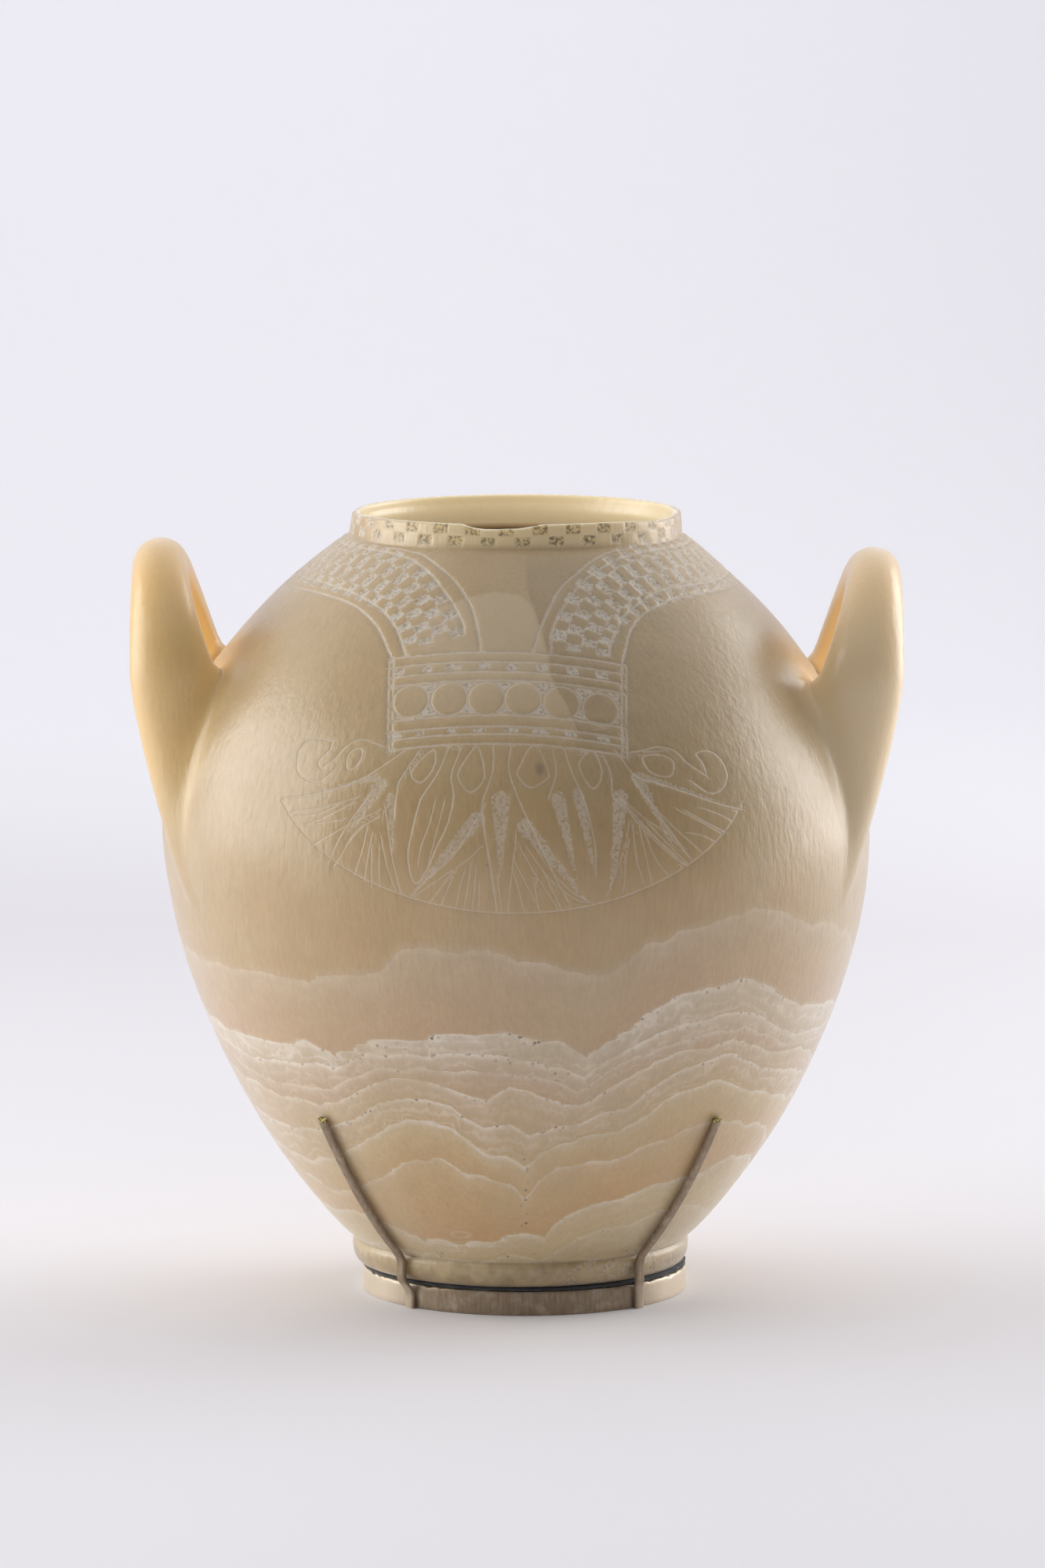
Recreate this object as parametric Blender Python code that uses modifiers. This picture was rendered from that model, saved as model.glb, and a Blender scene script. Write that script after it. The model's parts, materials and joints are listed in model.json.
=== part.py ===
"""A two-handled stone jar with an incised collar and lotus, standing in a ring mount with four prongs.

All sizes are in metres and +Z is up. The origin is on the floor, below the middle of the whole part.
Angles are in degrees round the jar, from 0 at the front (-Y), positive towards +X.
"""

import math

import bpy
import numpy as np
from mathutils import Vector

MM = 0.001

# Ring mount of flat strip, the liner on it and the room left round the stone
STRIP_HEIGHT = 9.5 * MM
STRIP_THICKNESS = 2.6 * MM
STRIP_EASE = 0.4 * MM
RING_INSET = 2.3 * MM
RING_SHIFT = 3.0 * MM
LINER_THICKNESS = 1.0 * MM
LINER_WIDTH = 7.0 * MM
GAP = 0.3 * MM
FIT = 0.7 * MM

# Turned body, from the foot on the liner up to the rim
FOOT_HEIGHT = 9.9 * MM
FOOT_RADIUS = 66.6 * MM
FOOT_EASE = 4.0 * MM
FOOT_LIP = 1.3 * MM
FOOT_TURN = 25.0
SOLE_TURN = 35.0
BELLY_RISE = 162.9 * MM
BELLY_RADIUS = 139.75 * MM
SHOULDER_RISE = 116.1 * MM
SHOULDER_FLARE = 1.4 * MM
COLLAR_HEIGHT = 10.0 * MM
COLLAR_RADIUS = 65.5 * MM
COLLAR_TAPER = 0.9 * MM
RIM_EASE = 0.8 * MM
FOOT_BOTTOM = STRIP_HEIGHT + LINER_THICKNESS + 2 * GAP
FOOT_TOP = FOOT_BOTTOM + FOOT_HEIGHT
BELLY_HEIGHT = FOOT_TOP + BELLY_RISE
SHOULDER_TOP = BELLY_HEIGHT + SHOULDER_RISE
RIM_HEIGHT = SHOULDER_TOP + COLLAR_HEIGHT
WAIST_RADIUS = FOOT_RADIUS - FOOT_LIP
SHOULDER_RADIUS = COLLAR_RADIUS + SHOULDER_FLARE
RIM_RADIUS = COLLAR_RADIUS - COLLAR_TAPER
RING_RADIUS = FOOT_RADIUS - RING_INSET
# How full each half of the body's outline is: the two powers of its superellipse
LOWER_CURVE = (1.782, 0.871)
UPPER_CURVE = (2.046, 0.985)

# Hollow and rim
LIP = 3.4 * MM
LIP_DEPTH = 4.0 * MM
THROAT_STEP = 0.8 * MM
WALL = 9.0 * MM
FLOOR = 13.0 * MM
FLOOR_CORNER = 6.0 * MM
FLOOR_COVE = 1.5 * MM
CHIP_ANGLE = -8.0
CHIP_WIDTH = 27.0 * MM
CHIP_DEPTH = 1.9 * MM
MOUTH_RADIUS = RIM_RADIUS - LIP
THROAT_RADIUS = MOUTH_RADIUS - THROAT_STEP

# How far the hand-ground centre wanders along X, at shares of the whole height
LEAN = (
    (0.0, 1.4 * MM),
    (0.19, 1.4 * MM),
    (0.52, 0.3 * MM),
    (0.77, -2.1 * MM),
    (0.92, -1.5 * MM),
    (1.0, 0.0 * MM),
)

# Handles: an arch of stone at each side, with tails that run down the belly
CROWN_DROP = {"left": 11.6 * MM, "right": 15.4 * MM}
HANDLE_STAND = 11.05 * MM
HANDLE_SPAN = 39.0 * MM
HANDLE_THICKNESS = 19.5 * MM
HANDLE_WIDTH = 20.8 * MM
LIMB_THICKNESS = 24.0 * MM
LIMB_WIDTH = 34.0 * MM
LIMB_SWELL = 1.85
TAIL_DROP = 25.9 * MM
TAIL_THICKNESS = 30.0 * MM
TAIL_SPREAD = 10.0 * MM
TAIL_SINK = 0.5 * MM
TAIL_NARROWING = 8.0 * MM
TAIL_EASE = 1.34
HANDLE_OUTSIDE = BELLY_RADIUS + HANDLE_STAND
TAIL_HEIGHT = BELLY_HEIGHT - TAIL_DROP

# Carved lines, with their levels measured down from the shoulder's top
GROOVE_WIDTH = 1.7 * MM
GROOVE_DEPTH = 0.75 * MM
GROOVE_PROUD = 1.2 * MM
# Strap lines from the outside in: end angle, drop at the nape, angle where the bend starts, roundness
STRAP_LINES = (
    (23.8, 17.4 * MM, 70.0, 2.26),
    (20.8, 14.4 * MM, 70.0, 2.26),
    (9.2, 1.8 * MM, 60.0, 2.5),
)
STRAP_BEND_DROP = 40.0 * MM
PLAQUE_HALF_WIDTH = 45.6 * MM
PLAQUE_CENTRE = -1.6 * MM
PLAQUE_DROPS = (34.6 * MM, 44.4 * MM, 56.8 * MM, 67.0 * MM)
PLAQUE_SAG = 4.6 * MM
PLAQUE_TILT = 1.0 * MM
DISC_COUNT = 6
DISC_RADIUS = 6.9 * MM
DISC_ROUNDNESS = 0.72
DISC_GROOVE_WIDTH = 1.3 * MM
DISC_GROOVE_DEPTH = 0.55 * MM
FAN_CENTRE = -0.5 * MM
FAN_CENTRE_DROP = 77.0 * MM
FAN_HALF_WIDTH = 92.0 * MM
FAN_DEPTH = 53.4 * MM
FAN_TIP_ANGLE = 73.0
PETAL_LINES = 7
PETAL_BOW = 4.0 * MM
PETAL_ROOT_DROP = 2.0 * MM
PETAL_GROOVE_WIDTH = 2.4 * MM
PETAL_REACH = 0.96
CHECK_COUNT = 31
CHECK_WIDTH = 6.2 * MM
CHECK_DEPTH = 0.5 * MM
CHECK_BLOCK = 2.0 * MM
# Middle of each row and the height of a check, as shares of the collar's height
CHECK_ROWS = (0.34, 0.76)
CHECK_SHARE = 0.32

# Four prongs that rise from the ring's face and hold the belly
PRONG_ANGLES = {"front_left": -43.0, "front_right": 43.0, "back_right": 137.0, "back_left": -137.0}
PRONG_WIDTH = 4.1 * MM
PRONG_THICKNESS = 2.0 * MM
PRONG_RISE = 61.0 * MM
PRONG_WELD = 0.7
PRONG_SPACING = 1.4

# Smoothness of the faceted solids
BODY_STEPS = 48
RING_STEPS = 36
HANDLE_SIDES = 10

ALABASTER = ("banded alabaster", (0.62, 0.50, 0.34), 0.42, 0.0)
PAINTED_BRASS = ("painted brass", (0.30, 0.26, 0.20), 0.55, 0.6)
FELT = ("dark felt", (0.05, 0.05, 0.055), 0.95, 0.0)


def clear_scene():
    for obj in list(bpy.data.objects):
        bpy.data.objects.remove(obj, do_unlink=True)


def new_collection(name):
    collection = bpy.data.collections.new(name)
    bpy.context.scene.collection.children.link(collection)
    return collection


def material(name, colour, roughness, metallic):
    made = bpy.data.materials.new(name)
    made.use_nodes = True
    shader = made.node_tree.nodes["Principled BSDF"]
    shader.inputs["Base Color"].default_value = (*colour, 1.0)
    shader.inputs["Roughness"].default_value = roughness
    shader.inputs["Metallic"].default_value = metallic
    return made


def body_radius(z):
    """Two superellipse arcs that meet at the belly."""
    z = np.clip(np.asarray(z, float), FOOT_TOP, SHOULDER_TOP)
    down = np.clip((BELLY_HEIGHT - z) / BELLY_RISE, 0, 1)
    up = np.clip((z - BELLY_HEIGHT) / SHOULDER_RISE, 0, 1)
    lower = (1 - down ** LOWER_CURVE[0]) ** LOWER_CURVE[1]
    upper = (1 - up ** UPPER_CURVE[0]) ** UPPER_CURVE[1]
    lower_radius = WAIST_RADIUS + (BELLY_RADIUS - WAIST_RADIUS) * lower
    upper_radius = SHOULDER_RADIUS + (BELLY_RADIUS - SHOULDER_RADIUS) * upper
    return np.where(z < BELLY_HEIGHT, lower_radius, upper_radius)


def hollow_radius(z):
    """The widest radius at height z that stays a wall's thickness inside the body."""
    reach = np.linspace(-1, 1, 41) * WALL
    return np.min(body_radius(z + reach) - np.sqrt(WALL**2 - reach**2))


def lean(z):
    """The sideways shift of the turned centre at height z."""
    shares, shifts = zip(*LEAN)
    return np.interp(np.asarray(z, float) / RIM_HEIGHT, shares, shifts)


def on_body(angle, z, out=0.0):
    """The point on the body at an angle and a height, moved outwards by out along the surface's normal."""
    turn = math.radians(angle)
    step = 0.5 * MM
    radius = float(body_radius(z))
    slope = float(body_radius(z + step) - body_radius(z - step)) / (2 * step)
    normal = Vector((math.sin(turn), -math.cos(turn), -slope)).normalized()
    point = Vector((radius * math.sin(turn) + float(lean(z)), -radius * math.cos(turn), z))
    return point + normal * out, normal


def on_front(x, z, out=0.0):
    """The point on the body's front at a distance x from the centre line, as a drawing laid over it."""
    angle = math.degrees(math.asin(max(-0.99, min(0.99, x / float(body_radius(z))))))
    return on_body(angle, z, out)


def mesh_object(name, points, faces, collection):
    mesh = bpy.data.meshes.new(name)
    mesh.from_pydata([tuple(point) for point in points], [], faces)
    mesh.validate()
    obj = bpy.data.objects.new(name, mesh)
    collection.objects.link(obj)
    return obj


def turned(name, profile, steps, collection):
    """A closed turned mesh from a profile of (radius, height) that runs down its outer side."""
    mesh = bpy.data.meshes.new(name)
    edges = [(i, i + 1) for i in range(len(profile) - 1)]
    if profile[0][0] > 0:
        edges.append((len(profile) - 1, 0))
    mesh.from_pydata([(radius, 0, z) for radius, z in profile], edges, [])
    guide = bpy.data.objects.new(name, mesh)
    collection.objects.link(guide)
    screw = guide.modifiers.new("Turn", "SCREW")
    screw.steps = steps
    screw.render_steps = steps
    screw.use_merge_vertices = True
    screw.merge_threshold = 0.01 * MM
    return evaluated_copy(guide, name, collection)


def evaluated_copy(guide, name, collection):
    """The guide's evaluated shape as a plain mesh object that takes its place."""
    graph = bpy.context.evaluated_depsgraph_get()
    mesh = bpy.data.meshes.new_from_object(guide.evaluated_get(graph))
    mesh.transform(guide.matrix_world)
    bpy.data.objects.remove(guide, do_unlink=True)
    mesh.name = name
    obj = bpy.data.objects.new(name, mesh)
    collection.objects.link(obj)
    return obj


def follow_lean(obj):
    for vertex in obj.data.vertices:
        vertex.co.x += float(lean(vertex.co.z))


def arc_points(centre, radius, first, last, count):
    """Points of an arc in the profile's plane, angles in degrees from +radius towards +height."""
    turns = np.radians(np.linspace(first, last, count))
    return [(centre[0] + radius * math.cos(t), centre[1] + radius * math.sin(t)) for t in turns]


def outer_profile():
    """From the rim's middle down the outside to the foot's middle."""
    rim = arc_points((RIM_RADIUS - RIM_EASE, RIM_HEIGHT - RIM_EASE), RIM_EASE, 90, 0, 3)
    heights = np.concatenate([
        np.linspace(SHOULDER_TOP, BELLY_HEIGHT, 10),
        np.linspace(BELLY_HEIGHT, FOOT_TOP, 11)[1:],
    ])
    body = [(float(body_radius(z)), z) for z in heights]
    ease = FOOT_RADIUS - FOOT_EASE
    foot = arc_points((ease, FOOT_TOP - FOOT_EASE / 2), FOOT_EASE, FOOT_TURN, -FOOT_TURN, 3)
    sole = arc_points((ease, FOOT_BOTTOM + FOOT_EASE), FOOT_EASE, -SOLE_TURN, -90, 3)
    body[0] = (COLLAR_RADIUS, SHOULDER_TOP)
    return [(0, RIM_HEIGHT)] + rim + body + foot + sole + [(0, FOOT_BOTTOM)]


def hollow_profile():
    """The hollow with its mouth, from above the rim down to the floor inside."""
    above = RIM_HEIGHT + COLLAR_HEIGHT / 2
    floor = FOOT_BOTTOM + FLOOR
    heights = np.linspace(SHOULDER_TOP - WALL, floor + WALL, 8)
    inside = [(max(hollow_radius(z), THROAT_RADIUS * (z > BELLY_HEIGHT)), z) for z in heights]
    corner = hollow_radius(floor)
    mouth = [(0, above), (MOUTH_RADIUS, above), (MOUTH_RADIUS, RIM_HEIGHT - LIP_DEPTH)]
    ending = [(corner, floor + FLOOR_COVE), (corner - FLOOR_CORNER, floor), (0, floor)]
    return mouth + [(THROAT_RADIUS, SHOULDER_TOP)] + inside + ending


def loft(name, sections, collection):
    """A closed tube through rings of points, all with the same count, with a flat cap at each end."""
    count = len(sections[0])
    points = [point for ring in sections for point in ring]
    faces = []
    for row in range(len(sections) - 1):
        for i in range(count):
            a = row * count + i
            b = row * count + (i + 1) % count
            faces.append((a, b, b + count, a + count))
    faces.append(tuple(range(count))[::-1])
    faces.append(tuple(range(len(points) - count, len(points))))
    return mesh_object(name, points, faces, collection)


def outward(obj):
    """Turns the mesh so that its faces point out."""
    mesh = obj.data
    mesh.calc_loop_triangles()
    volume = 0.0
    for triangle in mesh.loop_triangles:
        a, b, c = (mesh.vertices[i].co for i in triangle.vertices)
        volume += a.dot(b.cross(c))
    if volume < 0:
        mesh.flip_normals()
    return obj


def handle_spring(side):
    """The height where a handle's arch springs from its upright limbs."""
    return RIM_HEIGHT - CROWN_DROP[side] - HANDLE_THICKNESS / 2 - HANDLE_SPAN


def handle_outside(z):
    """How far out the handle's outer face stands: upright above the shoulder, then easing onto the belly."""
    upright = handle_spring("left")
    fall = min(1.0, max(0.0, (upright - z) / (upright - TAIL_HEIGHT)))
    tail_depth = HANDLE_SPAN + TAIL_SPREAD
    tail = math.sqrt(float(body_radius(TAIL_HEIGHT)) ** 2 - tail_depth**2) - TAIL_SINK
    return HANDLE_OUTSIDE - (HANDLE_OUTSIDE - tail) * fall**TAIL_EASE


def handle_section(along, up, spring):
    """One ring of the handle. along is -1 on the front limb, 0 at the crown and 1 on the back limb."""
    front_or_back = math.copysign(1, along)
    if up > spring:
        lift = min(1.0, (up - spring) / HANDLE_SPAN)
        share = abs(along)
        normal = (front_or_back * math.sqrt(max(0.0, 1 - lift**2)), lift)
        y = normal[0] * HANDLE_SPAN
        thickness = HANDLE_THICKNESS + (LIMB_THICKNESS - HANDLE_THICKNESS) * share
        width = HANDLE_WIDTH + (LIMB_WIDTH - HANDLE_WIDTH) * share**LIMB_SWELL
    else:
        fall = (spring - up) / (spring - TAIL_HEIGHT)
        normal = (front_or_back, 0.0)
        y = front_or_back * (HANDLE_SPAN + TAIL_SPREAD * fall**3)
        thickness = LIMB_THICKNESS + (TAIL_THICKNESS - LIMB_THICKNESS) * fall**3
        width = LIMB_WIDTH - TAIL_NARROWING * fall
    x = handle_outside(up) - width / 2
    ring = []
    for turn in np.linspace(0, 2 * math.pi, HANDLE_SIDES, endpoint=False):
        thick = math.sin(turn) * thickness / 2
        ring.append(Vector((
            x + math.cos(turn) * width / 2,
            y + normal[0] * thick,
            up + normal[1] * thick,
        )))
    return ring


def handle(side, collection):
    spring = handle_spring(side)
    limb = [float(up) for up in np.linspace(TAIL_HEIGHT, spring, 7)[:-1]]
    rows = [(-1.0, up) for up in limb]
    for turn in np.linspace(-90, 90, 11):
        rows.append((turn / 90, spring + HANDLE_SPAN * math.cos(math.radians(turn)) + 1e-6))
    rows += [(1.0, up) for up in limb[::-1]]
    sections = [handle_section(along, up, spring) for along, up in rows]
    mirror = -1 if side == "left" else 1
    sections = [[Vector((point.x * mirror, point.y, point.z)) for point in ring] for ring in sections]
    return outward(loft("handle " + side, sections, collection))


def groove(name, path, collection, width=GROOVE_WIDTH, depth=GROOVE_DEPTH, closed=False):
    """A V-shaped cutter along a path of (point, normal) pairs on the body."""
    half = width / 2 * (1 + GROOVE_PROUD / depth)
    sections = []
    count = len(path)
    for i, (point, normal) in enumerate(path):
        before = path[(i - 1) % count] if closed or i > 0 else path[i]
        after = path[(i + 1) % count] if closed or i < count - 1 else path[i]
        along = (after[0] - before[0]).normalized()
        side = normal.cross(along).normalized()
        top = point + normal * GROOVE_PROUD
        sections.append([point - normal * depth, top + side * half, top - side * half])
    if not closed:
        return outward(loft(name, sections, collection))
    points = [point for ring in sections for point in ring]
    faces = []
    for row in range(count):
        for i in range(3):
            a = row * 3 + i
            b = row * 3 + (i + 1) % 3
            faces.append((a, b, (b + 3) % len(points), (a + 3) % len(points)))
    return outward(mesh_object(name, points, faces, collection))


def plaque_height(drop, x):
    """The height of a plaque line, which bows down towards both ends and tilts a little."""
    share = (x - PLAQUE_CENTRE) / PLAQUE_HALF_WIDTH
    return SHOULDER_TOP - drop - PLAQUE_SAG * share**2 - PLAQUE_TILT * share


def carve_straps(cutters):
    """The strap's lines: each runs up from the plaque, bends outwards and goes round the nape."""
    base = SHOULDER_TOP - STRAP_BEND_DROP
    for number, (end_angle, drop, bend_angle, roundness) in enumerate(STRAP_LINES):
        top = SHOULDER_TOP - drop
        rise = []
        for turn in np.radians(np.linspace(2, 90, 9)):
            angle = bend_angle - (bend_angle - end_angle) * math.cos(turn) ** (2 / roundness)
            rise.append((angle, base + (top - base) * math.sin(turn) ** (2 / roundness)))
        nape = [(angle, top) for angle in np.linspace(bend_angle, 360 - bend_angle, 19)[1:-1]]
        back = [(360 - angle, z) for angle, z in rise[::-1]]
        path = [on_body(angle, z) for angle, z in rise + nape + back]
        groove(f"strap line {number}", path, cutters)


def carve_plaque(cutters):
    for number, drop in enumerate(PLAQUE_DROPS):
        xs = PLAQUE_CENTRE + np.linspace(-1, 1, 9) * PLAQUE_HALF_WIDTH
        groove(f"plaque line {number}", [on_front(x, plaque_height(drop, x)) for x in xs], cutters)
    for side in (-1, 1):
        x = PLAQUE_CENTRE + side * PLAQUE_HALF_WIDTH
        top = plaque_height(PLAQUE_DROPS[0], x)
        bottom = plaque_height(PLAQUE_DROPS[-1], x)
        groove(f"plaque side {side}", [on_front(x, z) for z in np.linspace(top, bottom, 4)], cutters)


def carve_discs(cutters):
    """A row of discs along the plaque's middle band."""
    pitch = 2 * PLAQUE_HALF_WIDTH / DISC_COUNT
    middle = (PLAQUE_DROPS[1] + PLAQUE_DROPS[2]) / 2
    for number in range(DISC_COUNT):
        x = PLAQUE_CENTRE - PLAQUE_HALF_WIDTH + pitch * (number + 0.5)
        z = plaque_height(middle, x)
        ring = []
        for turn in np.linspace(0, 2 * math.pi, 10, endpoint=False):
            rise = DISC_RADIUS * DISC_ROUNDNESS * math.sin(turn)
            ring.append(on_front(x + DISC_RADIUS * math.cos(turn), z + rise))
        groove(f"disc {number}", ring, cutters, DISC_GROOVE_WIDTH, DISC_GROOVE_DEPTH, closed=True)


def fan_edge(turn):
    """A point of the flower's lower edge, turn degrees to either side of straight down."""
    swing = math.radians(turn)
    middle = SHOULDER_TOP - FAN_CENTRE_DROP
    return FAN_CENTRE + FAN_HALF_WIDTH * math.sin(swing), middle - FAN_DEPTH * math.cos(swing)


def carve_flower(cutters):
    edge = [on_front(*fan_edge(turn)) for turn in np.linspace(-FAN_TIP_ANGLE, FAN_TIP_ANGLE, 21)]
    groove("flower edge", edge, cutters)
    for number in range(PETAL_LINES):
        share = 2 * number / (PETAL_LINES - 1) - 1
        root_x = PLAQUE_CENTRE + share * (PLAQUE_HALF_WIDTH - GROOVE_WIDTH)
        root_z = plaque_height(PLAQUE_DROPS[-1], root_x) - PETAL_ROOT_DROP
        tip_x, tip_z = fan_edge(share * FAN_TIP_ANGLE)
        path = []
        for t in np.linspace(0, PETAL_REACH, 6):
            bow = PETAL_BOW * math.sin(math.pi * t) * abs(share)
            path.append(on_front(root_x + (tip_x - root_x) * t, root_z + (tip_z - root_z) * t + bow))
        groove(f"petal {number}", path, cutters, PETAL_GROOVE_WIDTH)


def carve_collar(cutters):
    """Two staggered rows of shallow checks round the collar."""
    for row, share in enumerate(CHECK_ROWS):
        for number in range(CHECK_COUNT):
            angle = 360 * (number + 0.5 * row) / CHECK_COUNT
            radius = COLLAR_RADIUS - COLLAR_TAPER * share
            block(f"check {row} {number}", angle, radius, SHOULDER_TOP + COLLAR_HEIGHT * share, cutters)


def block(name, angle, radius, height, collection):
    """A small box whose inner face lies CHECK_DEPTH inside the collar."""
    bpy.ops.mesh.primitive_cube_add(size=1)
    obj = bpy.context.active_object
    obj.name = name
    centre = radius - CHECK_DEPTH + CHECK_BLOCK / 2
    turn = math.radians(angle)
    obj.scale = (CHECK_WIDTH, CHECK_BLOCK, COLLAR_HEIGHT * CHECK_SHARE)
    obj.rotation_euler = (0, 0, turn)
    shift = float(lean(height))
    obj.location = (centre * math.sin(turn) + shift, -centre * math.cos(turn), height)
    move_to(obj, collection)


def move_to(obj, collection):
    for other in list(obj.users_collection):
        other.objects.unlink(obj)
    collection.objects.link(obj)


def chip(cutters):
    """A round cutter whose flank takes the shallow chip out of the rim."""
    half = CHIP_WIDTH / 2
    radius = (half**2 + CHIP_DEPTH**2) / (2 * CHIP_DEPTH)
    bpy.ops.mesh.primitive_cylinder_add(vertices=72, radius=radius, depth=CHIP_WIDTH)
    obj = bpy.context.active_object
    obj.name = "rim chip"
    turn = math.radians(CHIP_ANGLE)
    obj.rotation_euler = (math.pi / 2, 0, turn)
    middle = RIM_RADIUS - LIP / 2
    obj.location = (middle * math.sin(turn), -middle * math.cos(turn), RIM_HEIGHT - CHIP_DEPTH + radius)
    move_to(obj, cutters)


def boolean(obj, name, operation, other):
    modifier = obj.modifiers.new(name, "BOOLEAN")
    modifier.operation = operation
    modifier.solver = "EXACT"
    if isinstance(other, bpy.types.Collection):
        modifier.operand_type = "COLLECTION"
        modifier.collection = other
    else:
        modifier.object = other


def jar(parts, helpers, cutters, stone):
    made = turned("jar", outer_profile(), BODY_STEPS, parts)
    follow_lean(made)
    outward(made)
    for side in ("left", "right"):
        boolean(made, "Join handle " + side, "UNION", handle(side, helpers))
    hollow = turned("hollow", hollow_profile(), BODY_STEPS, helpers)
    follow_lean(hollow)
    outward(hollow)
    boolean(made, "Hollow", "DIFFERENCE", hollow)
    carve_straps(cutters)
    carve_plaque(cutters)
    carve_discs(cutters)
    carve_flower(cutters)
    carve_collar(cutters)
    chip(cutters)
    boolean(made, "Carving", "DIFFERENCE", cutters)
    finish(made, stone)


def finish(obj, stuff):
    obj.data.materials.clear()
    obj.data.materials.append(stuff)
    obj.data.shade_smooth()
    obj.data.set_sharp_from_angle(angle=math.radians(35))


def mount_ring(parts, metal):
    inner = RING_RADIUS - STRIP_THICKNESS
    ease = STRIP_EASE
    profile = [
        (inner, 0), (inner, STRIP_HEIGHT), (RING_RADIUS - ease, STRIP_HEIGHT),
        (RING_RADIUS, STRIP_HEIGHT - ease), (RING_RADIUS, ease), (RING_RADIUS - ease, 0),
    ]
    made = turned("mount_ring", profile, RING_STEPS, parts)
    made.location.x = RING_SHIFT
    finish(outward(made), metal)


def liner(parts, felt):
    low = STRIP_HEIGHT + GAP
    high = FOOT_BOTTOM - GAP
    outer = RING_RADIUS - STRIP_EASE
    inner = outer - LINER_WIDTH
    made = turned("liner", [(inner, low), (inner, high), (outer, high), (outer, low)], RING_STEPS, parts)
    made.location.x = RING_SHIFT
    finish(outward(made), felt)


def strip_section(point, normal, side):
    """A ring of points of the flat strip with its outer edges eased, its inner face's middle at point."""
    half = PRONG_WIDTH / 2
    flat = half - STRIP_EASE
    top = PRONG_THICKNESS
    low = top - STRIP_EASE
    outline = ((-half, 0), (half, 0), (half, low), (flat, top), (-flat, top), (-half, low))
    return [point + side * across + normal * out for across, out in outline]


def prong(name, angle, parts, metal):
    """A strip that runs up the ring's face, over the foot's side and along the belly to its tip."""
    turn = math.radians(angle)
    radial = Vector((math.sin(turn), -math.cos(turn), 0))
    side = Vector((math.cos(turn), math.sin(turn), 0))
    up = Vector((0, 0, 1))
    ring_face = Vector((RING_SHIFT, 0, 0)) + radial * (RING_RADIUS + GAP)
    foot_face = Vector((float(lean(FOOT_TOP)), 0, 0)) + radial * (FOOT_RADIUS + FIT)
    path = [(ring_face, radial), (ring_face + up * STRIP_HEIGHT * PRONG_WELD, radial)]
    path += [(foot_face + up * FOOT_BOTTOM, radial), (foot_face + up * (FOOT_TOP - FOOT_EASE / 3), radial)]
    start = FOOT_TOP + FOOT_EASE
    reach = PRONG_RISE - FOOT_EASE
    for share in np.linspace(0, 1, 8) ** PRONG_SPACING:
        path.append(on_body(angle, start + reach * float(share), FIT))
    made = loft(name, [strip_section(point, normal, side) for point, normal in path], parts)
    finish(outward(made), metal)


def main():
    clear_scene()
    parts = new_collection("jar in its mount")
    helpers = new_collection("shapes joined or cut")
    cutters = new_collection("carving")
    stone = material(*ALABASTER)
    metal = material(*PAINTED_BRASS)
    felt = material(*FELT)
    jar(parts, helpers, cutters, stone)
    mount_ring(parts, metal)
    liner(parts, felt)
    for place, angle in PRONG_ANGLES.items():
        prong("mount_prong_" + place, angle, parts, metal)
    for obj in list(helpers.objects) + list(cutters.objects):
        obj.hide_render = True
        obj.display_type = "WIRE"


main()
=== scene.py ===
"""Looks of a two-handled jar of banded alabaster that stands in a painted brass ring mount.

Shapes are worked out in millimetres and turned to metres when a mesh is made. +Z is up. Angles are in
degrees round the jar from its front (-Y), positive towards +X.
"""

import json
import math

import bmesh
import bpy
import numpy as np
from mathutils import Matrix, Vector

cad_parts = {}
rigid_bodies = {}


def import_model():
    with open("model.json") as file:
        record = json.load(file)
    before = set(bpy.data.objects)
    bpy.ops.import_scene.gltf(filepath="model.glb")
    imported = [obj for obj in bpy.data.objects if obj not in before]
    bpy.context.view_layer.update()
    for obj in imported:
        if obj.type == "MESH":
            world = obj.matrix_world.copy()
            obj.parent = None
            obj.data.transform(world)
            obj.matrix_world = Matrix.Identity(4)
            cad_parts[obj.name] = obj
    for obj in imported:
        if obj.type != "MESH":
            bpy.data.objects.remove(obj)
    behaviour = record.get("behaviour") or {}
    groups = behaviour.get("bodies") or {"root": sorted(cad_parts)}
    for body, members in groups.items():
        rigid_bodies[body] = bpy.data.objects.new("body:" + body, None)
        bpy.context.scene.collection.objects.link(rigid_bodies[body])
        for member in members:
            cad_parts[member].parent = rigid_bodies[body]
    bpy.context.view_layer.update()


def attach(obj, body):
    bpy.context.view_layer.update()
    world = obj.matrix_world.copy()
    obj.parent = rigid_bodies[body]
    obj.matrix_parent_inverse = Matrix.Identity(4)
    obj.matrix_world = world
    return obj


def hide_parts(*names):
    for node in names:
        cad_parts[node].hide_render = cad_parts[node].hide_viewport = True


bl_info = {
    "name": "Alabaster jar in a ring mount",
    "version": (1, 0, 0),
    "blender": (4, 5, 0),
    "location": "3D View > Sidebar > Jar",
    "description": "Builds the carved stone jar, its ring mount with prongs, its felt liner and the studio",
    "category": "Add Mesh",
}

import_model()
MM = 0.001


def linear(code):
    """The linear colour of an sRGB hex value: c / 12.92 in the dark, ((c + 0.055) / 1.055) ^ 2.4 above."""
    channels = np.array([int(code[i:i + 2], 16) for i in (1, 3, 5)]) / 255
    low = channels / 12.92
    high = ((channels + 0.055) / 1.055) ** 2.4
    return tuple(float(c) for c in np.where(channels <= 0.04045, low, high))


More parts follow.
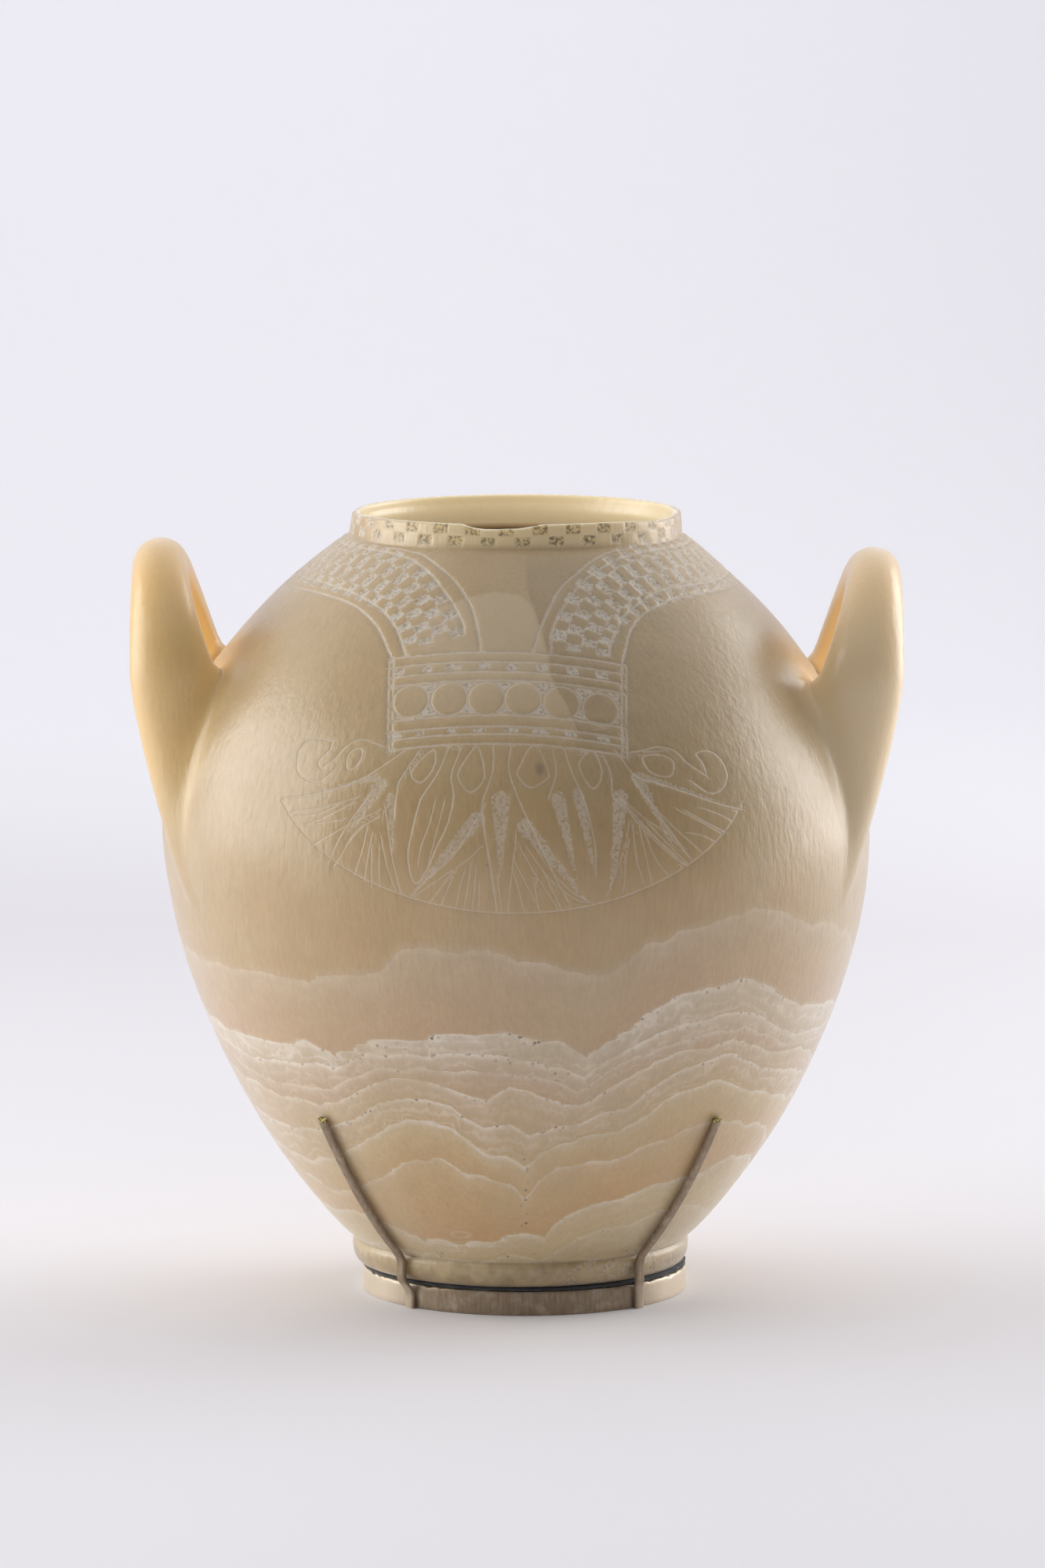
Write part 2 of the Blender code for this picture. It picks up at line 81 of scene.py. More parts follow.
# The turned body's outline, the same named sizes as the solids
FOOT_BOTTOM, FOOT_TOP, FOOT_RADIUS, WAIST_RADIUS = 11.1, 21.0, 66.6, 65.3
BELLY_HEIGHT, BELLY_RISE, BELLY_RADIUS = 183.9, 162.9, 139.75
SHOULDER_TOP, SHOULDER_RISE, SHOULDER_RADIUS = 300.0, 116.1, 66.9
RIM_HEIGHT, COLLAR_RADIUS, COLLAR_TAPER = 310.0, 65.5, 0.9
LOWER_CURVE = (1.782, 0.871)
UPPER_CURVE = (2.046, 0.985)
WALL, FLOOR, MOUTH_RADIUS, THROAT_RADIUS = 9.0, 13.0, 61.2, 60.4
LEAN_HEIGHTS = (0.0, 58.9, 161.2, 238.7, 285.2, 310.0)
LEAN_SHIFTS = (1.4, 1.4, 0.3, -2.1, -1.5, 0.0)

# Handles
CROWN_DROP = {-1: 11.6, 1: 15.4}  # below the rim, left and right
HANDLE_OUTSIDE, HANDLE_SPAN = 150.8, 39.0
HANDLE_THICKNESS, LIMB_THICKNESS, TAIL_THICKNESS = 19.5, 24.0, 30.0
HANDLE_WIDTH, LIMB_WIDTH, TAIL_WIDTH, LIMB_SWELL = 20.8, 34.0, 26.0, 1.85
TAIL_HEIGHT, TAIL_SPREAD, TAIL_SINK, TAIL_EASE = 158.0, 10.0, 0.5, 1.34
TAIL_END = 151.0
LIMB_STEPS, ARCH_STEPS, HANDLE_SIDES = 33, 41, 32

# Mount
RING_RADIUS, RING_SHIFT, STRIP_HEIGHT, STRIP_THICKNESS = 64.3, 3.0, 9.5, 2.6
PRONG_ANGLES = {"front_left": -43.0, "front_right": 43.0, "back_right": 137.0, "back_left": -137.0}
PRONG_WIDTH, PRONG_THICKNESS, PRONG_RISE = 4.1, 2.0, 61.0
PRONG_GAP = 0.7
PRONG_STEPS, PRONG_SIDES, PRONG_SQUARENESS = 110, 24, 0.45
RING_STEPS, LINER_STEPS = 540, 360

# Camera: place in metres, how far it looks down, lens in mm
CAMERA_PLACE, CAMERA_PITCH, CAMERA_LENS = (0.0022, -3.2, 0.62), 7.4615, 187.74

# Carving on the body. Each path is a list of (angle, height) points
STRAP_LINES = (
    ((-6.7, 266.1), (-8.1, 273.7), (-10.8, 281.9), (-17.4, 290.5), (-28.5, 297.0), (-36.7, 299.0), (-47.4, 299.4)),
    ((-11.0, 272.0), (-11.9, 276.0), (-17.7, 285.2), (-27.6, 293.5), (-43.2, 297.8), (-76.9, 298.2), (-180, 298.2)),
    ((-22.5, 263.5), (-27.3, 272.7), (-34.5, 279.3), (-46.3, 283.6), (-61.5, 285.5), (-79.0, 285.6), (-180, 285.5)),
    ((-25.1, 261.0), (-26.6, 264.4), (-32.9, 273.4), (-43.3, 279.6), (-59.4, 282.0), (-81.4, 282.0), (-180, 282.0)),
    ((4.1, 265.5), (6.7, 274.9), (9.1, 280.8), (12.5, 287.1), (17.3, 291.6), (25.4, 296.6), (34.0, 299.2),
     (44, 299.5)),
    ((8.0, 264.9), (8.9, 272.5), (11.5, 278.9), (16.0, 285.8), (22.3, 291.4), (31.5, 295.6), (42.5, 297.9),
     (61.7, 298.3), (180, 298.2)),
    ((20.6, 263.7), (21.7, 267.8), (24.5, 272.9), (27.9, 277.5), (34.4, 281.7), (42.1, 284.6), (52.7, 285.3),
     (75.5, 285.4), (180, 285.5)),
    ((22.8, 260.5), (25.0, 266.3), (27.7, 272.1), (32.5, 277.1), (40.8, 280.5), (50.1, 282.0), (84.8, 282.0),
     (180, 282.0)),
)
CHECK_CELL = 4.2
PLAQUE_CENTRE, PLAQUE_HALF_WIDTH, PLAQUE_SAG, PLAQUE_TILT = -1.6, 45.6, 4.6, 1.0
PLAQUE_LEVELS = (265.4, 262.2, 258.7, 255.6, 243.3, 239.3, 236.6, 233.1)
PLAQUE_CHECKS = (
    (262.2, 258.7, ((-23.8, -21.7), (-18.1, -16.2), (-13.4, -10.2), (-6.9, -4.4), (-1.2, 1.4), (4.9, 7.2),
     (10.9, 13.3), (16.6, 19.2))),
    (239.3, 236.6, ((-21.7, -19.3), (-17.0, -15.3), (-11.2, -9.7), (-6.6, -4.4), (-1.4, 1.2), (3.5, 6.5),
     (9.1, 11.4), (14.9, 17.1))),
)
DISC_BAND = (255.6, 243.3)
DISCS = ((-19.0, 247.6), (-11.7, 248.8), (-4.7, 249.3), (2.1, 249.1), (9.3, 247.5), (16.4, 244.8))
DISC_RADIUS = 7.0
COLLAR_CHECKS, COLLAR_ROWS, COLLAR_CHECK = 31, ((303.5, 0.2), (308.0, 0.7)), (6.2, 4.1)
FAN_CENTRE, FAN_HALF, FAN_TIPS = (-0.5, 223.0), (92.0, 53.4), 73.0

# The flower's outlines: petals, curling leaves and drops
FLOWER_LINES = (
    ((-40.3, 208.8), (-35.0, 211.2), (-30.5, 214.0), (-27.2, 217.0), (-24.5, 220.1), (-21.6, 224.6), (-18.2, 230.3)),
    ((18.0, 229.5), (20.6, 220.3), (24.1, 217.6), (28.6, 213.6), (35.5, 207.7), (39.4, 205.4)),
    ((-32.3, 231.5), (-34.9, 231.9), (-36.7, 231.6), (-38.0, 229.7), (-38.7, 227.3), (-38.7, 224.1), (-38.4, 220.7),
     (-37.4, 218.2), (-35.9, 216.9), (-34.2, 216.4), (-32.8, 217.2), (-31.3, 220.3)),
    ((-32.3, 231.3), (-32.3, 228.7), (-34.0, 224.5), (-34.0, 222.2), (-33.1, 221.4), (-32.7, 222.8), (-31.2, 225.0),
     (-30.3, 227.8), (-29.0, 230.7), (-27.5, 232.4), (-26.2, 232.9), (-22.2, 230.7)),
    ((-26.2, 229.3), (-27.6, 229.3), (-28.7, 226.5), (-28.3, 221.5), (-26.4, 224.4), (-26.2, 229.3)),
    ((19.4, 228.9), (23.3, 229.6), (25.4, 230.5), (28.6, 228.6), (30.6, 223.7), (33.7, 218.6)),
    ((33.7, 218.6), (33.5, 223.3), (32.6, 226.9), (35.2, 227.7), (37.3, 224.2), (37.8, 217.9), (36.0, 213.1),
     (33.4, 212.4), (30.4, 217.4)),
    ((22.5, 227.0), (26.0, 227.4), (27.9, 224.5), (26.8, 219.6), (23.5, 221.2), (22.5, 227.0)),
    ((-13.5, 230.6), (-15.6, 226.5), (-17.0, 221.6), (-16.2, 218.9), (-15.1, 218.5), (-13.7, 221.9), (-13.0, 226.3),
     (-13.5, 230.6)),
    ((-6.1, 232.0), (-8.1, 226.5), (-9.1, 220.9), (-7.6, 216.0), (-6.4, 215.8), (-4.7, 220.7), (-5.2, 228.2),
     (-6.1, 232.0)),
    ((3.0, 231.7), (1.0, 224.2), (0.7, 221.7), (2.7, 217.1), (5.4, 220.0), (5.9, 222.9), (4.4, 231.6), (3.0, 231.7)),
    ((11.1, 224.3), (12.4, 228.8), (14.0, 229.6), (14.9, 222.0), (13.0, 216.3), (11.1, 224.3)),
    ((-16.1, 229.3), (-18.7, 219.4), (-19.1, 215.8), (-19.4, 204.8)),
    ((-10.7, 232.4), (-12.6, 221.5), (-15.0, 212.5), (-16.3, 200.5), (-17.0, 190.1), (-16.1, 180.2), (-14.2, 184.9),
     (-12.4, 194.3), (-10.6, 203.4), (-9.7, 213.6), (-10.2, 221.3), (-8.6, 232.1)),
    ((-3.2, 232.6), (-3.3, 223.5), (-5.1, 210.2), (-4.7, 200.0), (-3.8, 185.9), (-3.2, 171.6)),
    ((-0.2, 231.9), (-0.6, 223.0), (1.5, 208.7), (3.5, 197.9), (6.0, 184.0), (8.0, 174.0)),
    ((6.9, 230.7), (7.1, 222.0), (5.8, 213.7)),
    ((8.9, 231.1), (9.7, 223.2), (11.5, 210.9), (12.6, 196.0), (12.6, 184.5)),
    ((15.5, 228.6), (16.4, 221.1), (16.3, 213.0), (19.1, 206.8), (20.6, 202.0)),
    ((16.7, 215.3), (20.0, 204.5), (23.2, 195.9), (27.5, 186.1)),
    ((20.4, 218.0), (23.4, 207.2), (25.4, 199.1), (28.3, 189.1)),
)
# Roughened wedges between the petals: broad end, point and the width in mm at the broad end
WEDGES = (
    ((-22.0, 217.2), (-27.9, 195.5), 5.6), ((-20.1, 212.5), (-19.2, 186.6), 3.2),
    ((-5.8, 205.3), (-16.8, 175.2), 6.0), ((-2.0, 212.5), (-2.4, 183.8), 7.2), ((1.7, 202.7), (11.2, 173.5), 6.2),
    ((7.2, 212.9), (9.4, 183.0), 5.4), ((10.5, 214.4), (12.5, 182.8), 4.6), ((17.4, 212.8), (14.8, 177.5), 6.0),
    ((20.9, 219.5), (25.0, 196.0), 5.2), ((21.8, 219.9), (37.6, 206.6), 2.8), ((-22.9, 219.8), (-38.5, 208.7), 2.4),
)
# Fine scratched rays that spread from the petals to the flower's lower edge
RAYS = (
    ((-25.8, 211.9), (-31.5, 207.7), (-38.2, 204.3)), ((-28.3, 209.9), (-32.5, 204.8), (-37.6, 202.8)),
    ((-26.5, 209.9), (-30.8, 204.5), (-34.9, 200.3)), ((-28.0, 203.3), (-31.2, 201.7), (-34.9, 200.3)),
    ((-21.9, 207.4), (-26.9, 201.8), (-31.1, 196.1), (-33.8, 192.6)),
    ((-24.0, 212.1), (-26.2, 205.2), (-28.7, 196.0), (-30.6, 186.7)),
    ((-24.7, 201.6), (-26.8, 196.3), (-28.1, 190.5), (-29.6, 185.7)),
    ((-21.8, 205.2), (-24.3, 201.6), (-26.6, 196.3), (-27.6, 192.8)),
    ((-23.9, 200.6), (-24.5, 193.3), (-26.1, 182.3)), ((-23.0, 197.9), (-23.6, 191.1), (-24.4, 180.9)),
    ((-23.0, 193.5), (-23.2, 178.6)), ((-21.7, 193.6), (-21.9, 178.4)),
    ((-21.5, 198.1), (-20.3, 184.8), (-19.0, 175.9)),
    ((-21.0, 209.2), (-20.3, 200.4), (-19.5, 188.3), (-18.3, 175.8)),
    ((-12.6, 212.1), (-13.5, 203.3), (-14.9, 194.3), (-15.4, 187.6)),
    ((-11.1, 212.2), (-12.5, 198.9), (-14.0, 185.5)),
    ((-4.7, 210.3), (-7.3, 200.3), (-10.2, 190.2), (-14.1, 182.1), (-16.6, 175.6)),
    ((-5.3, 194.9), (-7.9, 189.2), (-12.2, 182.2), (-16.4, 175.1)),
    ((-5.0, 209.2), (-4.4, 194.9), (-3.7, 180.4), (-3.1, 171.1)), ((-10.0, 184.6), (-12.3, 177.7), (-13.8, 173.0)),
    ((-9.3, 185.8), (-10.9, 177.8), (-11.9, 172.3)), ((-7.9, 185.9), (-8.7, 180.8), (-9.6, 171.5)),
    ((-7.0, 188.1), (-7.6, 179.1), (-8.4, 171.1)), ((-6.1, 188.2), (-6.6, 178.0), (-7.0, 171.0)),
    ((-5.7, 181.5), (-6.0, 171.0)), ((-2.9, 183.8), (-2.4, 171.1)),
    ((0.3, 200.5), (-0.3, 190.5), (-0.9, 180.4), (-1.4, 170.5)), ((-0.5, 186.0), (0.4, 178.2), (1.0, 170.8)),
    ((-0.1, 189.4), (1.6, 180.4), (3.5, 171.0)), ((0.7, 195.0), (3.0, 184.9), (6.3, 171.6)),
    ((1.8, 195.0), (4.9, 183.7), (8.9, 175.1), (11.7, 173.1)),
    ((1.3, 203.8), (4.5, 189.3), (8.5, 177.9), (11.9, 173.2)), ((2.6, 186.0), (3.0, 178.1), (3.4, 171.3)),
    ((4.6, 183.7), (5.9, 176.9), (6.8, 171.8)), ((18.6, 203.9), (17.2, 193.0), (15.6, 183.1), (14.2, 175.8)),
    ((19.0, 202.8), (19.3, 189.4), (20.4, 180.1)), ((19.9, 204.9), (20.5, 196.0), (21.6, 180.7)),
    ((18.3, 197.3), (17.6, 189.6), (17.0, 177.3)), ((20.9, 199.3), (22.5, 189.0), (24.5, 182.6)),
    ((21.7, 202.5), (25.2, 193.2), (28.1, 186.2)), ((17.1, 213.9), (20.0, 202.7), (23.7, 193.4), (27.0, 186.5)),
    ((17.5, 212.8), (21.1, 204.8), (25.3, 197.6)), ((24.5, 202.1), (25.8, 195.3), (27.5, 192.8)),
    ((22.9, 208.9), (26.0, 200.8), (30.6, 190.6)), ((26.9, 207.3), (30.4, 202.9), (34.6, 197.0)),
    ((28.5, 198.2), (31.1, 196.7), (33.5, 193.8)), ((28.5, 206.5), (32.5, 200.9), (35.6, 197.2)),
    ((31.3, 207.2), (34.4, 204.5), (37.1, 201.2)),
)
CRACK = (
    (3.6, 286.1), (5.5, 278.0), (7.3, 265.7), (7.5, 257.5), (8.6, 251.9), (10.1, 246.3), (10.7, 242.1),
    (11.4, 237.9),
)

# Pale skin between the straps: the height of its top edge by angle
PALE_TOP = (
    (-26, 276), (-17, 281), (-11.2, 284.2), (-4.8, 286.1), (1.9, 285.0), (4.8, 281.4), (5.8, 276.1), (7.3, 265.7),
)

# Clusters of pits: angle, height, half sizes in mm and how thick. A grey stain and a knot: angle, height, half sizes
PITS = (
    (1.0, 62, 1.4, 7.5, 1.0), (0.8, 50, 1.2, 12, 0.8), (0.7, 40.5, 2.2, 2.6, 1.0), (0.3, 24, 6.0, 3.0, 1.0),
    (5.5, 15.5, 7.5, 2.6, 0.9), (-2.5, 112, 4.0, 1.6, 0.7), (24, 17.5, 2.0, 3.4, 1.0), (38, 24, 3.0, 3.0, 0.6),
    (-28, 24, 3.4, 2.4, 0.7), (7, 103, 3.0, 2.0, 1.0), (-4.5, 186.3, 0.9, 2.4, 1.0),
)
STAIN = (4.5, 223.8, 1.7, 3.0)
KNOT = (-17.1, 34.2, 7.4, 4.0)

# How low the worn rim lies below its full height, round the mouth: (angle, mm)
RIM_DIPS = (
    (-180, 0.3), (-120, 0.5), (-80, 1.2), (-60, 0.4), (-35, 0.1), (-20, 0.15), (-16.5, 1.2), (-11, 2.0), (-5, 1.9),
    (2.5, 1.3), (6, 0.5), (10, 0.1), (35, 0.2), (47, 0.8), (60, 1.7), (75, 1.3), (110, 0.5), (150, 0.2), (180, 0.3),
)

# Layers of the stone: the height of each boundary round the front, from the top boundary down
BANDS = (
    ((-48, 139), (-37, 137.3), (-35, 140.6), (-28, 143.1), (-23, 144.2), (-19, 153.4), (-16, 154.8), (-5, 154.1),
     (3, 149.5), (11, 144.7), (15, 144.3), (18, 149.6), (21, 155.3), (24, 155.6), (27, 160.5), (36, 163.7),
     (41, 166.2), (46, 164), (56, 155.8)),
    ((-55, 109.9), (-46, 110.1), (-41, 112.6), (-35, 107.6), (-31, 111.3), (-27, 114.9), (-17, 117), (-10, 121),
     (-7, 119.4), (-2, 121.9), (4, 117.8), (7, 117.7), (12, 111.1), (15, 116.5), (20, 121.7), (22, 126.6),
     (29, 135), (34, 136.9), (41, 138), (48, 133.5), (50, 128.3), (58, 123.7), (65, 120.5)),
    ((-57, 102.3), (-41, 104.6), (-36, 103.4), (-33, 107.5), (-29, 110.6), (-18, 112), (-7, 113.7), (1, 110.4),
     (8, 107.3), (12, 102), (14, 106.9), (18, 112.2), (24, 119.4), (28, 121), (37, 124.9), (44, 124.4), (53, 115.1),
     (62, 109.9)),
    ((-51, 92.8), (-40, 93.1), (-33, 99.4), (-27, 104.6), (-16, 106.1), (-6, 106.3), (2, 104.6), (6, 102.2),
     (11, 97.2), (15, 104.5), (21, 110.7), (29, 115.2), (38, 118.5), (44, 118.1), (51, 113.4), (59, 106.4)),
    ((-45, 87.4), (-38, 88.9), (-34, 92.3), (-31, 97), (-27, 100), (-22, 102.3), (-15, 100.4), (-12, 97.7),
     (-6, 94.6), (-2, 100.5), (1, 98.8), (5, 94.6), (9, 92.1), (14, 94.1), (18, 98.9), (25, 108.9), (31, 112.2),
     (41, 113.5), (47, 110.7), (53, 106.3)),
    ((-57, 74.2), (-45, 75.7), (-37, 81.1), (-32, 86.2), (-28, 90.5), (-23, 92.8), (-17, 93.2), (-13, 91.8),
     (-11, 87.3), (-7, 81.5), (-2, 84.1), (2, 79.9), (5, 80.4), (16, 86.8), (21, 89.8), (28, 100.4), (32, 105.4),
     (42, 108.3), (51, 101.3), (61, 95.5)),
    ((-56, 59.8), (-45, 64.9), (-37, 70.3), (-33, 76), (-27, 81.1), (-23, 83.9), (-17, 84.5), (-14, 82.3),
     (-8, 71.9), (-3, 69.6), (1, 65.3), (4, 71.4), (8, 74.9), (12, 78.2), (17, 78.9), (23, 83), (26, 85.5),
     (29, 92), (33, 95.8), (40, 97.9), (50, 91.5), (69, 83.1)),
    ((-50, 46.9), (-34, 57.6), (-29, 63.4), (-23, 67.9), (-18, 68.6), (-15, 65.9), (-12, 61.8), (-6, 60.9),
     (-2, 57.5), (1, 51.6), (4, 59.7), (8, 64.5), (13, 67.2), (20, 67.1), (26, 71.8), (33, 74.7), (36, 78.8),
     (47, 79.8), (57, 74.8)),
    ((-62, 36.5), (-53, 40), (-45, 39.3), (-36, 32.8), (-31, 30.5), (-17, 29.4), (-8, 30.6), (-3, 34.2), (2, 34.8),
     (7, 33), (9, 39.2), (13, 44.8), (18, 48.1), (26, 49.1), (34, 55.1), (47, 56), (57, 62.5), (64, 59.9)),
    ((-64, 24.1), (-49, 24.6), (-29, 23.5), (-21, 21.7), (-9, 22.5), (-3, 25.2), (2, 25), (7, 22), (12, 27.1),
     (17, 32.1), (22, 36.1), (31, 36.9), (40, 41.6), (48, 42.4)),
)
BAND_BACK = (141, 118, 108, 100, 94, 84, 72, 58, 42, 28)


def body_radius(z):
    """Two superellipse arcs that meet at the belly: end + (belly - end) (1 - share ^ a) ^ b for each."""
    z = np.clip(np.asarray(z, float), FOOT_TOP, SHOULDER_TOP)
    down = np.clip((BELLY_HEIGHT - z) / BELLY_RISE, 0, 1)
    up = np.clip((z - BELLY_HEIGHT) / SHOULDER_RISE, 0, 1)
    low = WAIST_RADIUS + (BELLY_RADIUS - WAIST_RADIUS) * (1 - down ** LOWER_CURVE[0]) ** LOWER_CURVE[1]
    high = SHOULDER_RADIUS + (BELLY_RADIUS - SHOULDER_RADIUS) * (1 - up ** UPPER_CURVE[0]) ** UPPER_CURVE[1]
    return np.where(z < BELLY_HEIGHT, low, high)


def outer_radius(z):
    """The body's radius with the collar above it: a straight taper joined on by a small cove."""
    z = np.asarray(z, float)
    collar = COLLAR_RADIUS - COLLAR_TAPER * (z - SHOULDER_TOP) / (RIM_HEIGHT - SHOULDER_TOP)
    share = np.clip((z - (SHOULDER_TOP - 0.9)) / 1.4, 0, 1)
    return body_radius(z) * (1 - share) + collar * share


def slope(z, step=0.4):
    """How fast the outer radius grows with height."""
    return (outer_radius(z + step) - outer_radius(z - step)) / (2 * step)


def lean(z):
    """The sideways shift of the hand-ground centre at a height."""
    return np.interp(z, LEAN_HEIGHTS, LEAN_SHIFTS)


def hollow_radius(z):
    """The widest radius that keeps a wall's thickness: the least of body(z + t) - sqrt(wall^2 - t^2)."""
    reach = np.linspace(-1, 1, 41) * WALL
    return np.min(body_radius(np.asarray(z, float)[:, None] + reach) - np.sqrt(WALL ** 2 - reach ** 2), axis=1)


LENGTH_HEIGHTS = np.linspace(FOOT_BOTTOM, RIM_HEIGHT, 4000)
LENGTHS = np.concatenate([[0], np.cumsum(np.hypot(np.diff(outer_radius(LENGTH_HEIGHTS)), np.diff(LENGTH_HEIGHTS)))])


def length_at(z):
    """The distance along the outline from the foot's bottom up to a height."""
    return np.interp(z, LENGTH_HEIGHTS, LENGTHS)


def rows_between(top, bottom, step):
    """Heights from top down to bottom, the same distance apart along the outline."""
    first, last = length_at(top), length_at(bottom)
    count = int(round(abs(first - last) / step)) + 1
    return np.interp(np.linspace(first, last, count), LENGTHS, LENGTH_HEIGHTS)


def ripple(points, wavelength, seed, waves=14):
    """Smooth noise of about -1 to 1: the mean of plane waves in random directions, near one wavelength."""
    rng = np.random.default_rng(seed)
    ways = rng.normal(size=(waves, 3))
    ways /= np.linalg.norm(ways, axis=1)[:, None]
    turns = 2 * np.pi / (wavelength * rng.uniform(0.7, 1.5, waves))
    phases = rng.uniform(0, 2 * np.pi, waves)
    return np.sin((points @ ways.T) * turns + phases).sum(axis=1) / math.sqrt(waves)


def smoothstep(low, high, value):
    """0 at low, 1 at high and eased between: s^2 (3 - 2 s). Low may be the greater, which turns it round."""
    share = np.clip((value - low) / (high - low), 0, 1)
    return share * share * (3 - 2 * share)


def make_piece(name, points, faces, collection):
    """A mesh object at the origin from points in mm and a list of face index arrays, its faces outward."""
    rows = [row for block in faces for row in np.asarray(block).tolist()]
    mesh = bpy.data.meshes.new(name)
    mesh.from_pydata((np.asarray(points) * MM).tolist(), [], rows)
    mesh.validate()
    face_outward(mesh)
    mesh.shade_smooth()
    made = bpy.data.objects.new(name, mesh)
    collection.objects.link(made)
    return made


def face_outward(mesh):
    """Flips a closed mesh whose signed volume, the sum of a . (b x c) over its triangles, is negative."""
    mesh.calc_loop_triangles()
    corners = np.empty(len(mesh.loop_triangles) * 3, np.int32)
    mesh.loop_triangles.foreach_get("vertices", corners)
    a, b, c = np.swapaxes(coordinates(mesh)[corners.reshape(-1, 3)], 0, 1)
    if np.einsum("ij,ij->i", a, np.cross(b, c)).sum() < 0:
        mesh.flip_normals()


def coordinates(mesh):
    """The mesh's points in mm."""
    flat = np.empty(len(mesh.vertices) * 3, np.float32)
    mesh.vertices.foreach_get("co", flat)
    return flat.reshape(-1, 3).astype(float) / MM


def move_points(mesh, points):
    """Puts the mesh's points at new places, given in mm."""
    mesh.vertices.foreach_set("co", (points * MM).astype(np.float32).ravel())
    mesh.update()


def store(mesh, name, values):
    """Keeps a number, or three numbers, for each point as a named attribute."""
    values = np.asarray(values, np.float32)
    kind, field = ("FLOAT", "value") if values.ndim == 1 else ("FLOAT_VECTOR", "vector")
    mesh.attributes.new(name, kind, "POINT").data.foreach_set(field, values.ravel())


def ring_quads(rows, columns, start=0):
    """The four-sided faces of a grid that closes on itself across its columns."""
    i, j = np.meshgrid(np.arange(rows - 1), np.arange(columns), indexing="ij")
    a, b = start + i * columns + j, start + i * columns + (j + 1) % columns
    return np.stack([a, b, b + columns, a + columns], axis=-1).reshape(-1, 4)


def wrap_quads(rows, columns):
    """The faces that close a grid from its last row back to its first."""
    j = np.arange(columns)
    k = (j + 1) % columns
    last = (rows - 1) * columns
    return np.stack([last + j, last + k, k, j], axis=-1)


def end_caps(rows, columns):
    """One many-sided face over the first row of a closed grid and one over its last."""
    return np.arange(columns)[None, :], (np.arange(columns) + (rows - 1) * columns)[None, :]


def seam_faces(coarse, fine, columns):
    """Five-sided faces that join a row of some columns to a row of twice as many."""
    k = np.arange(columns)
    after = (k + 1) % columns
    return np.stack([coarse + k, coarse + after, fine + 2 * after, fine + 2 * k + 1, fine + 2 * k], axis=-1)


def turned_rows(profile, angles):
    """Points of a surface of revolution, (r sin a, -r cos a, z), on a grid of the profile's rows and of angles."""
    r, z = np.array(profile, float).T
    turn = np.radians(angles)[None, :]
    across, back = r[:, None] * np.sin(turn), -r[:, None] * np.cos(turn)
    return np.stack(np.broadcast_arrays(across, back, z[:, None]), axis=-1).reshape(-1, 3)


def body_angles():
    """Angles round the body: close together over the carved front and where the handles join it."""
    spans = ((-44, 44, 176), (44, 58, 7), (58, 122, 64), (122, 238, 58), (238, 302, 64), (302, 316, 7))
    return np.concatenate([np.linspace(a, b, n, endpoint=False) for a, b, n in spans])


def body_shell(collection):
    """The hollow body as one turned grid: floor, hollow, lip, collar, belly and foot, with each pole closed."""
    fine = body_angles()
    coarse = fine[::2]
    floor = FOOT_BOTTOM + FLOOR
    corner = float(hollow_radius([floor])[0])
    hollow = np.linspace(floor + 9, SHOULDER_TOP - WALL, 22)
    wall = np.where(hollow > BELLY_HEIGHT, np.maximum(hollow_radius(hollow), THROAT_RADIUS), hollow_radius(hollow))
    inside = [(r, floor) for r in (12, 26, 40, corner - 7, corner - 3.5)] + [(corner - 0.6, floor + 1.0)]
    inside += [(corner + 1.5, floor + 3.5)] + list(zip(wall, hollow)) + [(66.0, 295.5), (62.0, 298.6)]
    lip = [(60.5, 301.2), (60.4, 303.4), (60.5, 305.3), (61.0, 306.2), (61.2, 307.4), (61.2, 308.7),
           (61.4, 309.5), (61.9, 309.93), (62.6, 310), (63.4, 310), (64.0, 309.92), (64.45, 309.55)]
    collar = [(float(outer_radius(z)), z) for z in np.linspace(309.0, 300.8, 10)]
    cove = [(65.5, 300.3), (65.9, 299.95), (66.7, 299.6)]
    front = [(float(outer_radius(z)), z) for z in rows_between(299.0, 165.0, 1.1)]
    belly = [(float(outer_radius(z)), z) for z in rows_between(165.0, 21.7, 3.7)[1:]]
    foot = [(65.5, 21.1), (66.1, 20.6), (66.5, 19.7), (66.6, 18.5), (66.55, 17.0), (66.3, 15.4), (65.8, 13.8),
            (65.0, 12.4), (63.9, 11.5), (62.4, 11.1), (56, 11.1), (40, 11.1), (20, 11.1)]
    blocks = [(inside, coarse), (lip + collar + cove + front, fine), (belly + foot, coarse)]
    points, faces, starts = [], [], []
    count = 0
    for profile, angles in blocks:
        rows = turned_rows(profile, angles)
        rows[:, 0] += lean(rows[:, 2])
        points.append(rows)
        faces.append(ring_quads(len(profile), len(angles), count))
        starts.append((count, count + (len(profile) - 1) * len(angles)))
        count += len(profile) * len(angles)
    n = len(coarse)
    faces.append(seam_faces(starts[0][1], starts[1][0], n)[:, ::-1])
    faces.append(seam_faces(starts[2][0], starts[1][1], n))
    for first, z in ((starts[0][0], floor), (starts[2][1], FOOT_BOTTOM)):
        k = np.arange(n)
        faces.append(np.stack([np.full(n, count), first + k, first + (k + 1) % n], axis=-1))
        points.append([[float(lean(z)), 0, z]])
        count += 1
    mesh = make_piece("jar body", np.concatenate(points), faces, collection)
    agree(mesh.data)
    return mesh


def agree(mesh):
    """Makes neighbouring faces agree and point outward."""
    work = bmesh.new()
    work.from_mesh(mesh)
    bmesh.ops.recalc_face_normals(work, faces=work.faces[:])
    work.to_mesh(mesh)
    work.free()
    face_outward(mesh)


def handle_spring(side):
    """The height at which a handle's arch springs from its limbs: crown - half its thickness - its radius."""
    return RIM_HEIGHT - CROWN_DROP[side] - HANDLE_THICKNESS / 2 - HANDLE_SPAN


